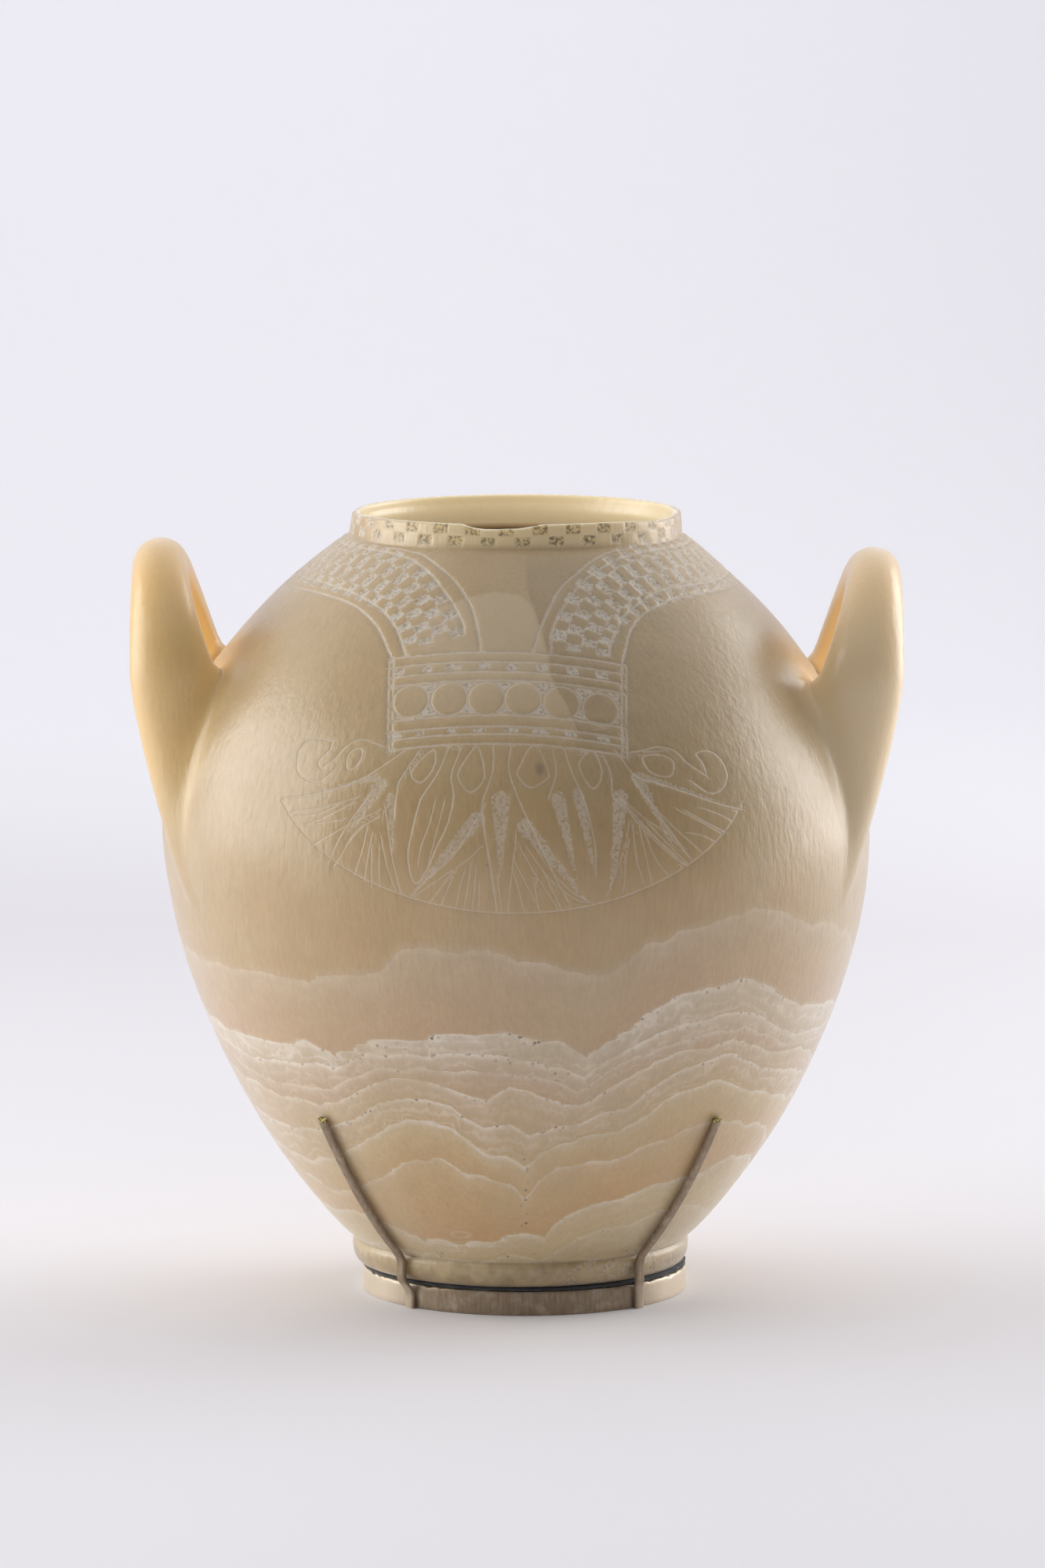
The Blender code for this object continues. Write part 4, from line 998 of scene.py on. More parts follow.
def prong_mesh(name, angle, collection):
    """A strip's section carried along its path, its tip cut square and broken. The section is a rounded
    rectangle, (a cos t ^ p, b sin t ^ p), each power taken with its sign."""
    knots, normals = prong_path(angle)
    gone = np.concatenate([[0], np.cumsum(np.linalg.norm(np.diff(knots, axis=0), axis=1))])
    even = np.linspace(0, gone[-1], PRONG_STEPS)
    knots = np.stack([np.interp(even, gone, column) for column in knots.T], axis=-1)
    normals = np.stack([np.interp(even, gone, column) for column in normals.T], axis=-1)
    inner_part = smoothstep(0, 6, even) * smoothstep(0, 3, gone[-1] - even)
    knots = knots + (blurred(knots) - knots) * inner_part[:, None]
    normals = blurred(normals)
    normals /= np.linalg.norm(normals, axis=1)[:, None]
    side = np.array([math.cos(math.radians(angle)), math.sin(math.radians(angle)), 0])
    turn = np.linspace(0, 2 * np.pi, PRONG_SIDES, endpoint=False)
    across = np.sign(np.cos(turn)) * np.abs(np.cos(turn)) ** PRONG_SQUARENESS * PRONG_WIDTH / 2
    out = (np.sign(np.sin(turn)) * np.abs(np.sin(turn)) ** PRONG_SQUARENESS + 1) * PRONG_THICKNESS / 2
    wide = 1 + 0.05 * np.sin(even / 7) - 0.1 * smoothstep(gone[-1] - 20, gone[-1], even)
    grid = (knots[:, None, :] + side * (across[None, :] * np.minimum(wide, 1)[:, None])[:, :, None]
            + normals[:, None, :] * out[None, :, None]).reshape(-1, 3)
    gone_by = np.repeat(even, PRONG_SIDES)
    tip = smoothstep(gone[-1] - 1.2, gone[-1], gone_by)
    grid += ripple(grid, 1.6, 200 + int(angle))[:, None] * 0.1 * tip[:, None]
    faces = [ring_quads(PRONG_STEPS, PRONG_SIDES), *end_caps(PRONG_STEPS, PRONG_SIDES)]
    made = make_piece(name, grid, faces, collection)
    agree(made.data)
    made.data.set_sharp_from_angle(angle=math.radians(60))
    store(made.data, "tip", smoothstep(gone[-1] - 2.2, gone[-1] - 0.6, gone_by))
    return made


def add(tree, kind, inputs=None, **settings):
    """Adds a shader node of a kind, sets its own settings, and fills its inputs with values or links."""
    made = tree.nodes.new("ShaderNode" + kind)
    for name, value in settings.items():
        setattr(made, name, value)
    for name, value in (inputs or {}).items():
        socket = made.inputs[name]
        if isinstance(value, bpy.types.NodeSocket):
            tree.links.new(value, socket)
        else:
            socket.default_value = value
    return made


def empty_material(name):
    """A material with a node tree and nothing in it."""
    made = bpy.data.materials.new(name)
    made.use_nodes = True
    made.node_tree.nodes.clear()
    return made


def new_collection(name):
    """The scene's collection of that name, made if it isn't there."""
    made = bpy.data.collections.get(name) or bpy.data.collections.new(name)
    if made.name not in bpy.context.scene.collection.children:
        bpy.context.scene.collection.children.link(made)
    return made


# The stone's layers from the shoulder down: colour at the top and bottom of each, then how white its upper
# edge is, how pitted it is, and how many mm that white takes to fade
LAYERS = (
    ("#C1A576", "#C6A676", 0.00, 0.0, 6.0),
    ("#CBB08A", "#CBA981", 0.34, 0.1, 7.0),
    ("#D6C4A8", "#CFB795", 0.95, 1.0, 5.0),
    ("#D3BC9B", "#CBAE8A", 0.80, 0.6, 4.5),
    ("#CFB492", "#CBAC86", 0.45, 0.4, 3.5),
    ("#D3B994", "#CEB187", 0.60, 0.5, 4.5),
    ("#D3B892", "#D0B283", 0.65, 0.9, 4.0),
    ("#D6BD8A", "#D2AE78", 0.85, 0.2, 3.0),
    ("#D4B480", "#D0A76F", 0.65, 0.1, 3.0),
    ("#D6BE8E", "#D3BB89", 0.80, 0.3, 3.0),
    ("#D0BB8E", "#C2AB7E", 0.40, 0.4, 3.0),
)


def layer_ramp(tree, layer, step):
    """A colour ramp over the layer number, with two stops for each layer: step gives their colours."""
    share = add(tree, "MapRange", {0: layer, 1: -1.0, 2: 10.0, 3: 0.0, 4: 1.0}, clamp=True).outputs[0]
    made = add(tree, "ValToRGB", {0: share})
    stops = made.color_ramp.elements
    while len(stops) < 2 * len(LAYERS):
        stops.new(0.5)
    for number, row in enumerate(LAYERS):
        for end, colour in enumerate(step(row)):
            stop = stops[2 * number + end]
            stop.position = (number + (0.0, 0.96)[end]) / len(LAYERS)
            stop.color = (*colour, 1)
    return made.outputs["Color"]


def stone_layers(tree, patch):
    """Colour of the layers, then how chalky, how pitted and how far below its layer's edge a point is."""
    band = add(tree, "Attribute", attribute_name="band").outputs["Vector"]
    # The layer's number with an edge that wanders by about 1 mm, and the drop in mm below each edge
    split = add(tree, "SeparateXYZ", {0: band})
    ragged = add(tree, "Math", {0: patch, 1: -0.5}, operation="ADD").outputs[0]
    ragged = add(tree, "Math", {0: ragged, 1: 2.6}, operation="MULTIPLY").outputs[0]
    ragged = add(tree, "Math", {0: ragged, 1: split.outputs[1]}, operation="DIVIDE").outputs[0]
    layer = add(tree, "Math", {0: split.outputs[0], 1: ragged}, operation="ADD").outputs[0]
    part = add(tree, "Math", {0: layer}, operation="FRACT").outputs[0]
    drop = add(tree, "Math", {0: part, 1: split.outputs[1]}, operation="MULTIPLY").outputs[0]
    colour = layer_ramp(tree, layer, lambda row: (linear(row[0]), linear(row[1])))
    edge = layer_ramp(tree, layer, lambda row: ((row[2], row[3], row[4] / 20),) * 2)
    edge = add(tree, "SeparateColor", {0: edge})
    fade = add(tree, "Math", {0: edge.outputs[2], 1: 20.0}, operation="MULTIPLY").outputs[0]
    fade = add(tree, "Math", {0: drop, 1: fade}, operation="DIVIDE").outputs[0]
    fade = add(tree, "Math", {0: 0.37, 1: fade}, operation="POWER").outputs[0]
    crisp = add(tree, "MapRange", {0: drop, 1: 0.3, 2: 2.4, 3: 0.6, 4: 0.0}).outputs[0]
    fade = add(tree, "Math", {0: fade, 1: 0.7, 2: crisp}, operation="MULTIPLY_ADD").outputs[0]
    chalk = add(tree, "Math", {0: fade, 1: edge.outputs[0]}, operation="MULTIPLY").outputs[0]
    knot = add(tree, "Attribute", attribute_name="knot").outputs["Vector"]
    knot = add(tree, "VectorMath", {0: knot}, operation="LENGTH").outputs["Value"]
    knot = add(tree, "Math", {0: patch, 1: 0.5, 2: knot}, operation="MULTIPLY_ADD").outputs[0]
    rings = add(tree, "Math", {0: knot, 1: 8.5}, operation="MULTIPLY").outputs[0]
    rings = add(tree, "Math", {0: rings}, operation="COSINE").outputs[0]
    within = add(tree, "MapRange", {0: knot, 1: 1.45, 2: 1.1, 3: 0.0, 4: 0.3}).outputs[0]
    chalk = add(tree, "Math", {0: rings, 1: within, 2: chalk}, operation="MULTIPLY_ADD").outputs[0]
    finer = add(tree, "Math", {0: patch, 1: 13.0, 2: drop}, operation="MULTIPLY_ADD").outputs[0]
    finer = add(tree, "Math", {0: finer, 1: 1.15}, operation="MULTIPLY").outputs[0]
    finer = add(tree, "Math", {0: finer}, operation="SINE").outputs[0]
    finer = add(tree, "MapRange", {0: finer, 1: 0.1, 2: 1.0, 3: 0.0, 4: 0.4}).outputs[0]
    finer = add(tree, "Math", {0: finer, 1: edge.outputs[1]}, operation="MULTIPLY").outputs[0]
    chalk = add(tree, "Math", {0: chalk, 1: finer}, operation="ADD").outputs[0]
    broken = add(tree, "MapRange", {0: patch, 1: 0.36, 2: 0.6, 3: 0.55, 4: 1.15}).outputs[0]
    chalk = add(tree, "Math", {0: chalk, 1: broken}, operation="MULTIPLY", use_clamp=True).outputs[0]
    return colour, chalk, edge.outputs[1], drop


def cut_lines(tree, uneven):
    """The mask of every incised line: 1.3 mm wide on the straps down to 0.7 mm for the rays, broken by the grit."""
    cut = None
    for name in ("line_a", "line_b", "ray_a", "ray_b", "ray_c"):
        field = add(tree, "Attribute", attribute_name=name).outputs["Vector"]
        field = add(tree, "SeparateXYZ", {0: field})
        gap = add(tree, "Math", {0: field.outputs[0]}, operation="ABSOLUTE").outputs[0]
        wide = add(tree, "Math", {0: field.outputs[2], 1: 0.35, 2: 0.3}, operation="MULTIPLY_ADD").outputs[0]
        gap = add(tree, "Math", {0: gap, 1: wide}, operation="DIVIDE").outputs[0]
        gap = add(tree, "Math", {0: gap, 1: uneven}, operation="ADD").outputs[0]
        line = add(tree, "MapRange", {0: gap, 1: 1.15, 2: 0.5}).outputs[0]
        near = add(tree, "MapRange", {0: field.outputs[1], 1: 0.5, 2: 0.65}).outputs[0]
        line = add(tree, "Math", {0: line, 1: near}, operation="MULTIPLY").outputs[0]
        white = add(tree, "Math", {0: field.outputs[2], 1: 0.55, 2: 0.3}, operation="MULTIPLY_ADD").outputs[0]
        line = add(tree, "Math", {0: line, 1: white}, operation="MULTIPLY").outputs[0]
        cut = line if cut is None else add(tree, "Math", {0: cut, 1: line}, operation="MAXIMUM").outputs[0]
    return cut


def rough_ground(tree, uneven):
    """The mask of roughened ground, which is plaque and collar checks, wedges and every other cell of the strap, and
    how white it is."""
    field = add(tree, "Attribute", attribute_name="rough").outputs["Vector"]
    field = add(tree, "SeparateXYZ", {0: field})
    frayed = add(tree, "Math", {0: 1.0, 1: field.outputs[1]}, operation="SUBTRACT").outputs[0]
    frayed = add(tree, "Math", {0: frayed, 1: 2.2, 2: 1.0}, operation="MULTIPLY_ADD").outputs[0]
    rough = add(tree, "Math", {0: uneven, 1: frayed, 2: field.outputs[0]}, operation="MULTIPLY_ADD").outputs[0]
    rough = add(tree, "MapRange", {0: rough, 1: -0.1, 2: 0.25}).outputs[0]
    cells = add(tree, "Attribute", attribute_name="strap").outputs["Vector"]
    cells = add(tree, "SeparateXYZ", {0: cells})
    ways = []
    for number in (0, 1):
        turn = add(tree, "Math", {0: cells.outputs[number], 1: math.pi}, operation="MULTIPLY").outputs[0]
        ways.append(add(tree, "Math", {0: turn}, operation="SINE").outputs[0])
    check = add(tree, "Math", {0: ways[0], 1: ways[1]}, operation="MULTIPLY").outputs[0]
    check = add(tree, "Math", {0: uneven, 1: 0.4, 2: check}, operation="MULTIPLY_ADD").outputs[0]
    check = add(tree, "MapRange", {0: check, 1: -0.12, 2: 0.08}).outputs[0]
    within = add(tree, "MapRange", {0: cells.outputs[2], 1: 0.2, 2: 0.8}).outputs[0]
    check = add(tree, "Math", {0: check, 1: within}, operation="MULTIPLY").outputs[0]
    ground = add(tree, "Math", {0: rough, 1: check}, operation="MAXIMUM", use_clamp=True).outputs[0]
    return ground, field.outputs[1]


def alabaster(look):
    """Banded alabaster, turned, carved and rubbed smooth: milky depth, a silky sheen with fine upright rubbing
    marks, chalk-white edges and pits where the layers meet, and whitened tool marks in the carving. The sheen and a
    thin coat are the polish that lights up at the sides. A faint light of its own stands for daylight held in the
    thin neck and in the handles' slits. Its colour also holds painted light: a warm glow on the handles, in their
    creases, at the front of the collar and inside the neck, and painted shade on the front right of the shoulder."""
    made = empty_material("Rubbed banded alabaster")
    made.cycles.emission_sampling = "NONE"
    tree = made.node_tree
    place = add(tree, "TexCoord").outputs["Object"]
    cloud = add(tree, "TexNoise", {"Vector": place, "Scale": 1000 / 42, "Detail": 2.0, "Roughness": 0.55}).outputs[0]
    patch = add(tree, "TexNoise", {"Vector": place, "Scale": 1000 / 9, "Detail": 2.5, "Roughness": 0.6}).outputs[0]
    grit = add(tree, "TexNoise", {"Vector": place, "Scale": 1000 / 1.3, "Detail": 2.0, "Roughness": 0.6}).outputs[0]
    upright = add(tree, "Mapping", {0: place, 3: (1.0, 1.0, 0.09)}).outputs[0]
    rubbing = add(tree, "TexNoise", {
        "Vector": upright, "Scale": 1000 / 1.2, "Detail": 2.0, "Roughness": 0.6}).outputs[0]
    tooled = add(tree, "Mapping", {0: place, 3: (1.0, 1.0, 0.45)}).outputs[0]
    tooled = add(tree, "TexNoise", {
        "Vector": tooled, "Scale": 1000 / 2.4, "Detail": 2.5, "Roughness": 0.55}).outputs[0]
    marks = add(tree, "Attribute", attribute_name="marks").outputs["Vector"]
    marks = add(tree, "SeparateXYZ", {0: marks})

    colour, chalk, pitted, drop = stone_layers(tree, patch)
    pale = (*linear("#ECDFCB"), 1)
    colour = add(tree, "Mix", {0: chalk, 6: colour, 7: pale}, data_type="RGBA").outputs[2]

    # Clouding in the depth, rubbing marks, the pale skin, and the shade right of the crack, which is partly painted
    # shade
    deep = add(tree, "MapRange", {0: cloud, 1: 0.35, 2: 0.68, 3: 0.0, 4: 0.5}).outputs[0]
    colour = add(tree, "Mix", {0: deep, 6: colour, 7: (*look.honey, 1)}, data_type="RGBA").outputs[2]
    rubbing_skin_and_shade = add(tree, "MapRange", {0: rubbing, 1: 0.3, 2: 0.7, 3: 0.95, 4: 1.04}).outputs[0]
    # The pale skin lightens and the shade right of the crack darkens: the stone's own tone there, partly painted shade
    rubbing_skin_and_shade = add(tree, "Math", {0: marks.outputs[2], 1: 0.15, 2: rubbing_skin_and_shade}, operation="MULTIPLY_ADD").outputs[0]
    milky = add(tree, "MapRange", {0: patch, 1: 0.35, 2: 0.65, 3: -0.025, 4: 0.025}).outputs[0]
    rubbing_skin_and_shade = add(tree, "Math", {0: rubbing_skin_and_shade, 1: milky}, operation="ADD").outputs[0]
    colour = add(tree, "Mix", {0: 1.0, 6: colour, 7: rubbing_skin_and_shade}, data_type="RGBA", blend_type="MULTIPLY").outputs[2]
    greyer = add(tree, "MapRange", {0: marks.outputs[2], 1: 0.0, 2: 1.0, 3: 0.0, 4: 0.35}).outputs[0]
    colour = add(tree, "Mix", {0: greyer, 6: colour, 7: (*linear("#CFC3AB"), 1)}, data_type="RGBA").outputs[2]
    stain = add(tree, "Math", {0: marks.outputs[1], 1: 0.5}, operation="MULTIPLY").outputs[0]
    colour = add(tree, "Mix", {0: stain, 6: colour, 7: (*linear("#6F6354"), 1)}, data_type="RGBA").outputs[2]

    # Painted light: a warm glow painted into the colour of the thin neck, the handles and the hollows beside them
    handle = add(tree, "Attribute", attribute_name="handle").outputs["Fac"]
    handle = add(tree, "Math", {0: handle, 1: 0.75}, operation="MULTIPLY").outputs[0]
    # The right handle is tinted paler than the left: painted light, as the right handle stands more in the light
    across = add(tree, "SeparateXYZ", {0: place}).outputs[0]
    across = add(tree, "MapRange", {0: across, 1: -0.1, 2: 0.1}).outputs[0]
    painted_handle_glow = add(tree, "Mix", {
        0: across, 6: (*linear("#E9CA8C"), 1), 7: (*linear("#F3E5C5"), 1)}, data_type="RGBA").outputs[2]
    colour = add(tree, "Mix", {0: handle, 6: colour, 7: painted_handle_glow}, data_type="RGBA").outputs[2]
    glow = add(tree, "Attribute", attribute_name="glow").outputs["Fac"]
    glow = add(tree, "Math", {0: glow, 1: 0.7}, operation="MULTIPLY").outputs[0]
    colour = add(tree, "Mix", {0: glow, 6: colour, 7: (*linear("#E6B665"), 1)}, data_type="RGBA").outputs[2]
    mouth = add(tree, "Attribute", attribute_name="mouth").outputs["Fac"]
    held = add(tree, "Math", {0: mouth, 1: 0.8}, operation="MULTIPLY").outputs[0]
    colour = add(tree, "Mix", {0: held, 6: colour, 7: (*linear("#E6D7AE"), 1)}, data_type="RGBA").outputs[2]

    # Carving: the lines white, the ground speckled where it is roughened; at the front of the collar the roughened
    # ground is yellower with darker specks, painted glow and painted shade
    uneven = add(tree, "MapRange", {0: grit, 1: 0.3, 2: 0.7, 3: -0.3, 4: 0.3}).outputs[0]
    cut = cut_lines(tree, uneven)
    ground, white = rough_ground(tree, uneven)

    speckle = add(tree, "ValToRGB", {0: grit})
    for stop, (position, code) in zip(speckle.color_ramp.elements, ((0.34, "#AE9A7C"), (0.52, "#DFD6C7"))):
        stop.position, stop.color = position, (*linear(code), 1)
    collar_glow_speckle = add(tree, "ValToRGB", {0: grit})
    for stop, (position, code) in zip(collar_glow_speckle.color_ramp.elements, ((0.42, "#6E5A36"), (0.57, "#DCC78C"))):
        stop.position, stop.color = position, (*linear(code), 1)
    worn = add(tree, "MapRange", {0: patch, 1: 0.3, 2: 0.6, 3: 0.55, 4: 0.85}).outputs[0]
    ground_tone = add(tree, "Math", {0: ground, 1: worn}, operation="MULTIPLY").outputs[0]
    ground_tone = add(tree, "Math", {0: ground_tone, 1: white}, operation="MULTIPLY").outputs[0]
    cut_tone = add(tree, "Math", {0: cut, 1: worn}, operation="MULTIPLY").outputs[0]
    tone = add(tree, "Mix", {0: mouth, 6: speckle.outputs[0], 7: collar_glow_speckle.outputs[0]}, data_type="RGBA").outputs[2]
    colour = add(tree, "Mix", {0: ground_tone, 6: colour, 7: tone}, data_type="RGBA").outputs[2]
    colour = add(tree, "Mix", {0: cut_tone, 6: colour, 7: (*linear("#E3D8C4"), 1)}, data_type="RGBA").outputs[2]

    # Dark pores, about 0.8 mm across, thickest along the pitted layers' edges
    pores = add(tree, "TexVoronoi", {"Vector": place, "Scale": 1000 / 2.6, "Randomness": 1.0}).outputs["Distance"]
    pores = add(tree, "MapRange", {0: pores, 1: 0.34, 2: 0.16}).outputs[0]
    close = add(tree, "MapRange", {0: drop, 1: 2.6, 2: 0.0}).outputs[0]
    close = add(tree, "Math", {0: close, 1: pitted}, operation="MULTIPLY").outputs[0]
    some = add(tree, "MapRange", {0: patch, 1: 0.42, 2: 0.52}).outputs[0]
    close = add(tree, "Math", {0: close, 1: some}, operation="MULTIPLY").outputs[0]
    close = add(tree, "Math", {0: close, 1: marks.outputs[0]}, operation="MAXIMUM").outputs[0]
    pores = add(tree, "Math", {0: pores, 1: close}, operation="MULTIPLY", use_clamp=True).outputs[0]
    colour = add(tree, "Mix", {0: pores, 6: colour, 7: (*linear("#564327"), 1)}, data_type="RGBA").outputs[2]

    # Darker and browner in a patchy band towards the bottom of the foot
    low = add(tree, "SeparateXYZ", {0: place}).outputs[2]
    darker_low = add(tree, "Math", {0: patch, 1: -0.03, 2: low}, operation="MULTIPLY_ADD").outputs[0]
    darker_low = add(tree, "MapRange", {0: darker_low, 1: 0.006, 2: -0.004, 3: 0.0, 4: 0.6}).outputs[0]
    colour = add(tree, "Mix", {0: darker_low, 6: colour, 7: (*linear("#7C6440"), 1)}, data_type="RGBA").outputs[2]

    # Relief in mm, finer than the mesh
    height = add(tree, "Math", {0: rubbing, 1: 0.06}, operation="MULTIPLY").outputs[0]
    height = add(tree, "Math", {0: tooled, 1: 0.26, 2: height}, operation="MULTIPLY_ADD").outputs[0]
    for mask, deep_mm in ((cut, -0.25), (ground, -0.15), (pores, -0.4)):
        height = add(tree, "Math", {0: mask, 1: deep_mm, 2: height}, operation="MULTIPLY_ADD").outputs[0]
    chips = add(tree, "Math", {0: ground, 1: grit}, operation="MULTIPLY").outputs[0]
    height = add(tree, "Math", {0: chips, 1: 0.28, 2: height}, operation="MULTIPLY_ADD").outputs[0]
    bump = add(tree, "Bump", {"Height": height, "Distance": MM, "Strength": 0.8}).outputs[0]
    matt = add(tree, "Math", {0: ground, 1: cut}, operation="MAXIMUM").outputs[0]
    silk = add(tree, "MapRange", {0: tooled, 1: 0.3, 2: 0.7, 3: 0.30, 4: 0.42}).outputs[0]
    rough_all = add(tree, "Mix", {0: matt, 2: silk, 3: 0.75}, data_type="FLOAT").outputs[0]
    held = add(tree, "Attribute", attribute_name="held").outputs["Fac"]
    held = add(tree, "Math", {0: held, 1: 0.42}, operation="MULTIPLY").outputs[0]
    shader = add(tree, "BsdfPrincipled", {
        "Base Color": colour, "Roughness": rough_all, "Normal": bump, "IOR": 1.53, "Specular IOR Level": 0.75,
        "Subsurface Weight": 0.5, "Subsurface Radius": (1.0, 0.78, 0.5), "Subsurface Scale": 6 * MM,
        "Sheen Weight": 0.45, "Sheen Roughness": 0.4, "Coat Weight": 0.22, "Coat Roughness": 0.24, "Coat Normal": bump,
        "Emission Color": colour, "Emission Strength": held})
    add(tree, "OutputMaterial", {"Surface": shader.outputs[0]})
    return made


def painted_brass(look):
    """Brass strip under a thin brushed coat of paint: half metal, half matt, brighter where it turns to the light,
    painted paler at its left and right sides as painted light from the side soft boxes, with yellow grains of raw
    brass at the broken tips."""
    made = empty_material("Brushed paint on brass strip")
    tree = made.node_tree
    place = add(tree, "TexCoord").outputs["Object"]
    upright = add(tree, "Mapping", {0: place, 3: (1.0, 1.0, 0.12)}).outputs[0]
    brush = add(tree, "TexNoise", {"Vector": upright, "Scale": 1000 / 1.1, "Detail": 3.0, "Roughness": 0.6}).outputs[0]
    blot = add(tree, "TexNoise", {"Vector": place, "Scale": 1000 / 7, "Detail": 3.0, "Roughness": 0.6}).outputs[0]
    tones = add(tree, "ValToRGB", {0: brush})
    dark = tuple(c * 0.78 for c in look.paint)
    light = tuple(min(1, c * 1.2) for c in look.paint)
    for stop, (position, colour) in zip(tones.color_ramp.elements, ((0.3, dark), (0.68, light))):
        stop.position, stop.color = position, (*colour, 1)
    worn = add(tree, "MapRange", {0: blot, 1: 0.5, 2: 0.7, 3: 0.0, 4: 0.5}).outputs[0]
    colour = add(tree, "Mix", {0: worn, 6: tones.outputs[0], 7: (*linear("#C9BBA6"), 1)}, data_type="RGBA").outputs[2]
    side = add(tree, "SeparateXYZ", {0: place})
    # Painted light: the low parts of the ring and prongs are painted paler towards their left and right sides, where
    # the side soft boxes light them
    round_it = add(tree, "Math", {0: side.outputs[0], 1: -RING_SHIFT * MM}, operation="ADD").outputs[0]
    round_it = add(tree, "Math", {0: round_it}, operation="ABSOLUTE").outputs[0]
    near, far = 0.60 * RING_RADIUS * MM, 0.86 * RING_RADIUS * MM
    painted_side_light = add(tree, "MapRange", {0: round_it, 1: near, 2: far, 3: 0.0, 4: 0.9}).outputs[0]
    strip = add(tree, "MapRange", {0: side.outputs[2], 1: 0.011, 2: 0.009}).outputs[0]
    painted_side_light = add(tree, "Math", {0: painted_side_light, 1: strip}, operation="MULTIPLY").outputs[0]
    colour = add(tree, "Mix", {0: painted_side_light, 6: colour, 7: (*linear("#E6D8C2"), 1)}, data_type="RGBA").outputs[2]
    tip = add(tree, "Attribute", attribute_name="tip").outputs["Fac"]
    grain = add(tree, "TexVoronoi", {"Vector": place, "Scale": 1000 / 0.9}).outputs["Color"]
    grain = add(tree, "SeparateColor", {0: grain}).outputs[0]
    raw = add(tree, "ValToRGB", {0: grain})
    for stop, (position, code) in zip(raw.color_ramp.elements, ((0.3, "#4B4126"), (0.7, "#D9CC7E"))):
        stop.position, stop.color = position, (*linear(code), 1)
    colour = add(tree, "Mix", {0: tip, 6: colour, 7: raw.outputs[0]}, data_type="RGBA").outputs[2]
    bump = add(tree, "Bump", {"Height": brush, "Distance": 0.05 * MM, "Strength": 0.8}).outputs[0]
    shader = add(tree, "BsdfPrincipled", {
        "Base Color": colour, "Metallic": 0.45, "Roughness": 0.42, "Normal": bump})
    add(tree, "OutputMaterial", {"Surface": shader.outputs[0]})
    return made


def felt(look):
    """Pressed wool felt in a dark grey blue: no gloss, a little fuzz."""
    made = empty_material("Pressed wool felt")
    tree = made.node_tree
    shader = add(tree, "BsdfPrincipled", {"Base Color": (*look.felt, 1), "Roughness": 0.95, "Sheen Weight": 0.3})
    add(tree, "OutputMaterial", {"Surface": shader.outputs[0]})
    return made


def stage_paper():
    """A seamless sweep of matt studio paper, almost white. A faint light of its own softens the jar's shadow."""
    made = empty_material("Matt studio paper")
    made.cycles.emission_sampling = "NONE"
    tree = made.node_tree
    shader = add(tree, "BsdfPrincipled", {
        "Base Color": (*linear("#ECEBEF"), 1), "Roughness": 0.9,
        "Emission Color": (*linear("#FAF9FD"), 1), "Emission Strength": 0.035})
    add(tree, "OutputMaterial", {"Surface": shader.outputs[0]})
    return made


def colour_property(name, description, code):
    """A colour that the panel shows, with an sRGB hex value as its default."""
    return bpy.props.FloatVectorProperty(
        name=name, description=description, default=linear(code), subtype="COLOR", size=3, min=0, max=1)


class JarLook(bpy.types.PropertyGroup):
    """Sizes and colours of the stone jar."""

    carving_depth: bpy.props.FloatProperty(
        name="Carving depth", description="How deep the widest incised lines are, in millimetres",
        default=0.45, min=0.0, max=1.2)
    honey: colour_property("Honey", "The stone's main colour on the shoulder", "#C8B188")


class MountLook(bpy.types.PropertyGroup):
    """Colours of the mount."""

    paint: colour_property("Paint", "The paint on the ring and prongs", "#97856F")
    felt: colour_property("Felt", "The liner under the foot", "#33363C")


class StudioLook(bpy.types.PropertyGroup):
    """Strengths of the studio's lights."""

    key: bpy.props.FloatProperty(
        name="Side lights", description="Power of the soft boxes at both sides",
        default=24.0, min=0.0, unit="POWER")
    backdrop: bpy.props.FloatProperty(
        name="Backdrop light", description="Power of the soft box over the paper's back",
        default=23.0, min=0.0, unit="POWER")


class JAR_OT_stone(bpy.types.Operator):
    """Build the carved stone jar"""

    bl_idname = "jar.stone"
    bl_label = "Stone jar"

    def execute(self, context):
        look = context.scene.jar_look
        piece = jar_mesh(new_collection("Jar"), look.carving_depth)
        piece.data.materials.clear()
        piece.data.materials.append(alabaster(look))
        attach(piece, "root")
        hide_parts("jar")
        return {"FINISHED"}


class JAR_OT_mount(bpy.types.Operator):
    """Build the ring and its four prongs"""

    bl_idname = "jar.mount"
    bl_label = "Ring and prongs"

    def execute(self, context):
        look = context.scene.mount_look
        collection = new_collection("Mount")
        finish = painted_brass(look)
        pieces = {"mount_ring": ring_mesh(collection)}
        for place, angle in PRONG_ANGLES.items():
            pieces["mount_prong_" + place] = prong_mesh("prong_" + place, angle, collection)
        for node, piece in pieces.items():
            piece.data.materials.append(finish)
            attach(piece, "root")
            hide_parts(node)
        return {"FINISHED"}


class JAR_OT_liner(bpy.types.Operator):
    """Build the felt liner between the foot and the ring"""

    bl_idname = "jar.liner"
    bl_label = "Felt liner"

    def execute(self, context):
        piece = liner_mesh(new_collection("Mount"))
        piece.data.materials.append(felt(context.scene.mount_look))
        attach(piece, "root")
        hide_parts("liner")
        return {"FINISHED"}


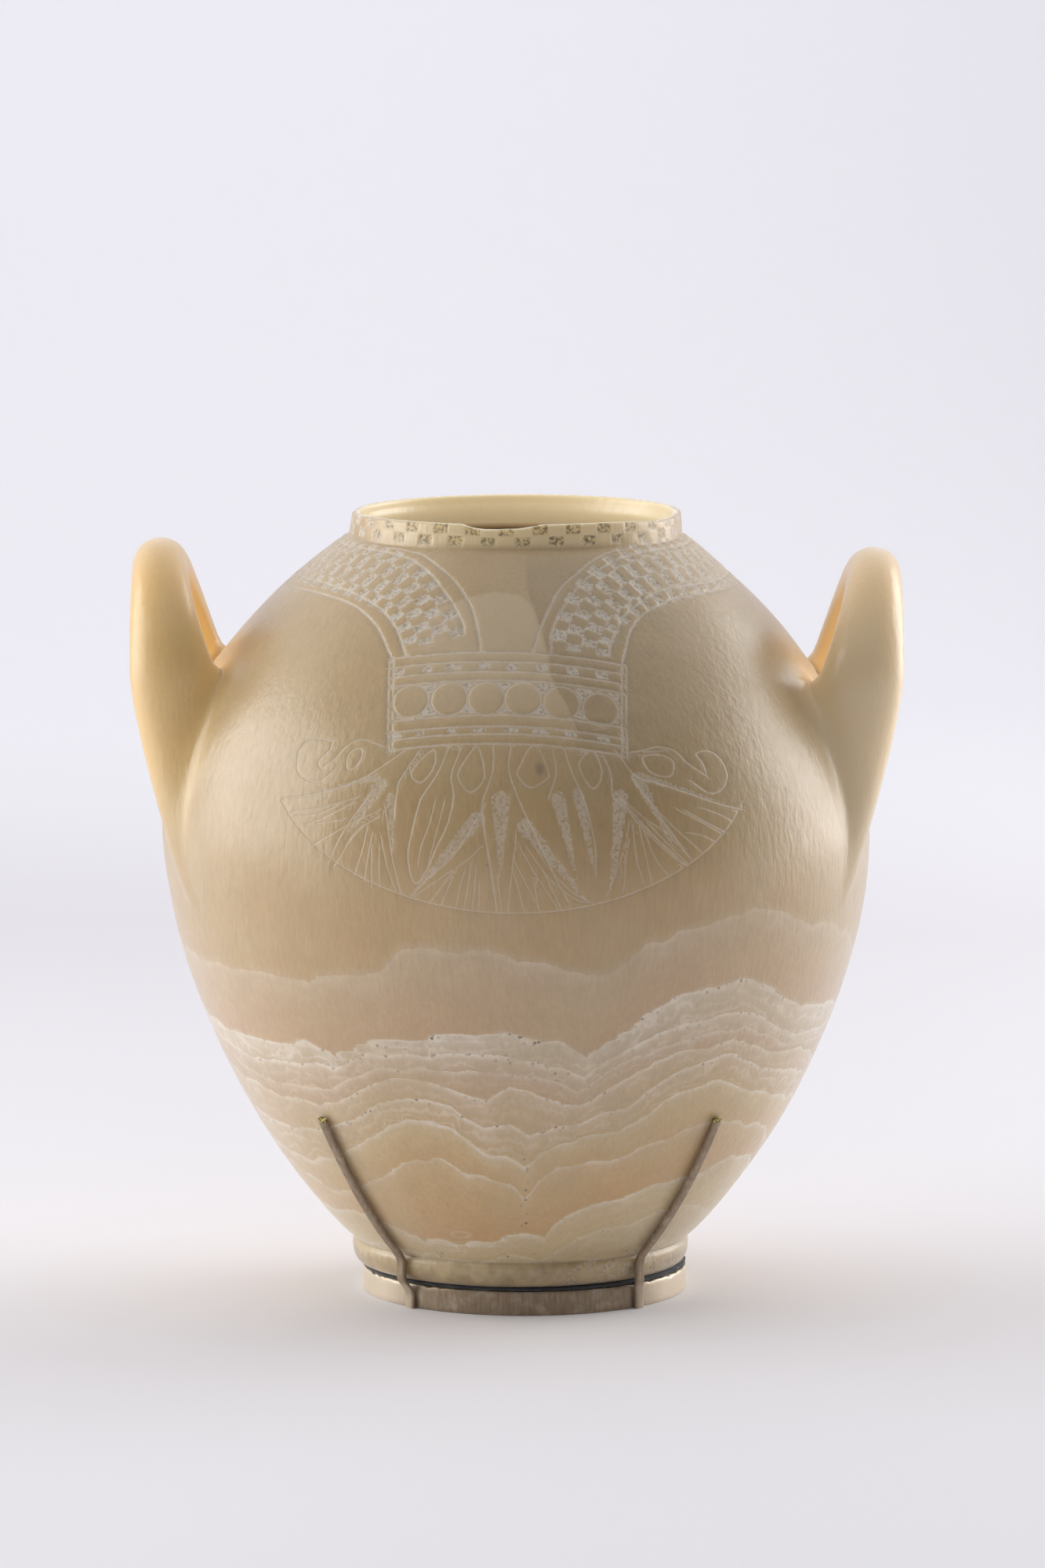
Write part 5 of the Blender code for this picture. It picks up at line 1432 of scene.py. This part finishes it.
def sweep_mesh(collection):
    """The paper sweep: a flat floor, a quarter circle and an upright back, the same across its whole width."""
    turn = np.radians(np.linspace(0, 90, 24))
    radius, back = 900.0, 1900.0
    y = np.concatenate([[-4200, 0, back], back + radius * np.sin(turn[1:]), [back + radius]])
    z = np.concatenate([[0, 0, 0], radius - radius * np.cos(turn[1:]), [1150]])
    x = np.linspace(-4200, 4200, 9)
    grid = np.stack(np.broadcast_arrays(x[None, :], y[:, None], z[:, None]), axis=-1).reshape(-1, 3)
    i, j = np.meshgrid(np.arange(len(y) - 1), np.arange(8), indexing="ij")
    a = i * 9 + j
    quads = np.stack([a, a + 1, a + 10, a + 9], axis=-1).reshape(-1, 4)
    mesh = bpy.data.meshes.new("studio sweep")
    mesh.from_pydata((grid * MM).tolist(), [], quads.tolist())
    mesh.shade_smooth()
    made = bpy.data.objects.new("studio_sweep", mesh)
    collection.objects.link(made)
    return made


def soft_box(name, place, aim, size, power, colour, collection):
    """A rectangular area light at a place in metres, turned to face its aim."""
    light = bpy.data.lights.new(name, "AREA")
    light.shape, light.size, light.size_y = "RECTANGLE", size[0], size[1]
    light.energy, light.color = power, colour
    made = bpy.data.objects.new(name, light)
    made.location = place
    made.rotation_euler = (Vector(aim) - Vector(place)).to_track_quat("-Z", "Y").to_euler()
    collection.objects.link(made)
    return made


def studio_air():
    """Light from all round, strong from behind and above and weak from the side of the camera."""
    made = bpy.data.worlds.new("studio air")
    made.use_nodes = True
    tree = made.node_tree
    tree.nodes.clear()
    way = add(tree, "TexCoord").outputs["Generated"]
    split = add(tree, "SeparateXYZ", {0: way})
    behind = add(tree, "MapRange", {0: split.outputs[1], 1: -0.35, 2: 0.35, 3: 0.06, 4: 0.95}).outputs[0]
    above = add(tree, "MapRange", {0: split.outputs[2], 1: 0.35, 2: 0.9, 3: 0.0, 4: 0.72}).outputs[0]
    strength = add(tree, "Math", {0: behind, 1: above}, operation="MAXIMUM").outputs[0]
    seen = add(tree, "LightPath").outputs["Is Camera Ray"]
    strength = add(tree, "Mix", {0: seen, 2: strength, 3: 0.86}, data_type="FLOAT").outputs[0]
    air = add(tree, "Background", {"Color": (*linear("#FAF9FD"), 1), "Strength": strength})
    add(tree, "OutputWorld", {"Surface": air.outputs[0]})
    return made


class JAR_OT_stage(bpy.types.Operator):
    """Build the paper sweep, the soft lights and the camera"""

    bl_idname = "jar.stage"
    bl_label = "Studio"

    def execute(self, context):
        look = context.scene.studio_look
        collection = new_collection("Studio")
        sweep = sweep_mesh(collection)
        sweep.data.materials.append(stage_paper())
        jar_middle, warm, cool = (0, 0, 0.16), linear("#FFFEFC"), linear("#FBFAFF")
        for box in (("left box", (-1.5, 0.0, 0.45), jar_middle, (1.6, 1.4), 0.83 * look.key, warm),
                    ("right box", (1.47, 0.72, 0.5), jar_middle, (1.3, 1.4), 0.78 * look.key, warm),
                    ("backdrop box", (-0.35, 1.3, 1.5), (-0.2, 2.8, 1.2), (3.4, 0.6), look.backdrop, cool)):
            soft_box(*box, collection)
        context.scene.world = studio_air()
        context.scene.view_settings.view_transform = "Standard"
        lens = bpy.data.cameras.new("camera")
        lens.lens, lens.sensor_width, lens.sensor_fit = CAMERA_LENS, 36, "AUTO"
        lens.clip_end = 20
        camera = bpy.data.objects.new("camera", lens)
        camera.location = CAMERA_PLACE
        camera.rotation_euler = (math.radians(90 - CAMERA_PITCH), 0, 0)
        collection.objects.link(camera)
        context.scene.camera = camera
        return {"FINISHED"}


OPERATORS = (JAR_OT_stone, JAR_OT_mount, JAR_OT_liner, JAR_OT_stage)


class JAR_PT_panel(bpy.types.Panel):
    """The jar's sizes, colours and build buttons"""

    bl_label = "Alabaster jar"
    bl_idname = "JAR_PT_panel"
    bl_space_type = "VIEW_3D"
    bl_region_type = "UI"
    bl_category = "Jar"

    def draw(self, context):
        """One box of values for each group, then a button for each operator."""
        for group in ("jar_look", "mount_look", "studio_look"):
            look = getattr(context.scene, group)
            box = self.layout.box()
            for name in look.bl_rna.properties.keys():
                if name not in ("rna_type", "name"):
                    box.prop(look, name)
        for operator in OPERATORS:
            self.layout.operator(operator.bl_idname)


GROUPS = {"jar_look": JarLook, "mount_look": MountLook, "studio_look": StudioLook}


def register():
    """Registers the property groups on the scene, then the operators and the panel."""
    for name, group in GROUPS.items():
        bpy.utils.register_class(group)
        setattr(bpy.types.Scene, name, bpy.props.PointerProperty(type=group))
    for cls in (*OPERATORS, JAR_PT_panel):
        bpy.utils.register_class(cls)


def unregister():
    """Undoes register in the opposite order."""
    for cls in (JAR_PT_panel, *reversed(OPERATORS)):
        bpy.utils.unregister_class(cls)
    for name, group in GROUPS.items():
        delattr(bpy.types.Scene, name)
        bpy.utils.unregister_class(group)


def corners(box):
    """A box's two corners as plain numbers."""
    return [[float(value) for value in corner] for corner in box]


def main():
    """Builds every piece and the studio."""
    register()
    bpy.ops.jar.stone()
    bpy.ops.jar.mount()
    bpy.ops.jar.liner()
    bpy.ops.jar.stage()


if __name__ == "__main__":
    main()
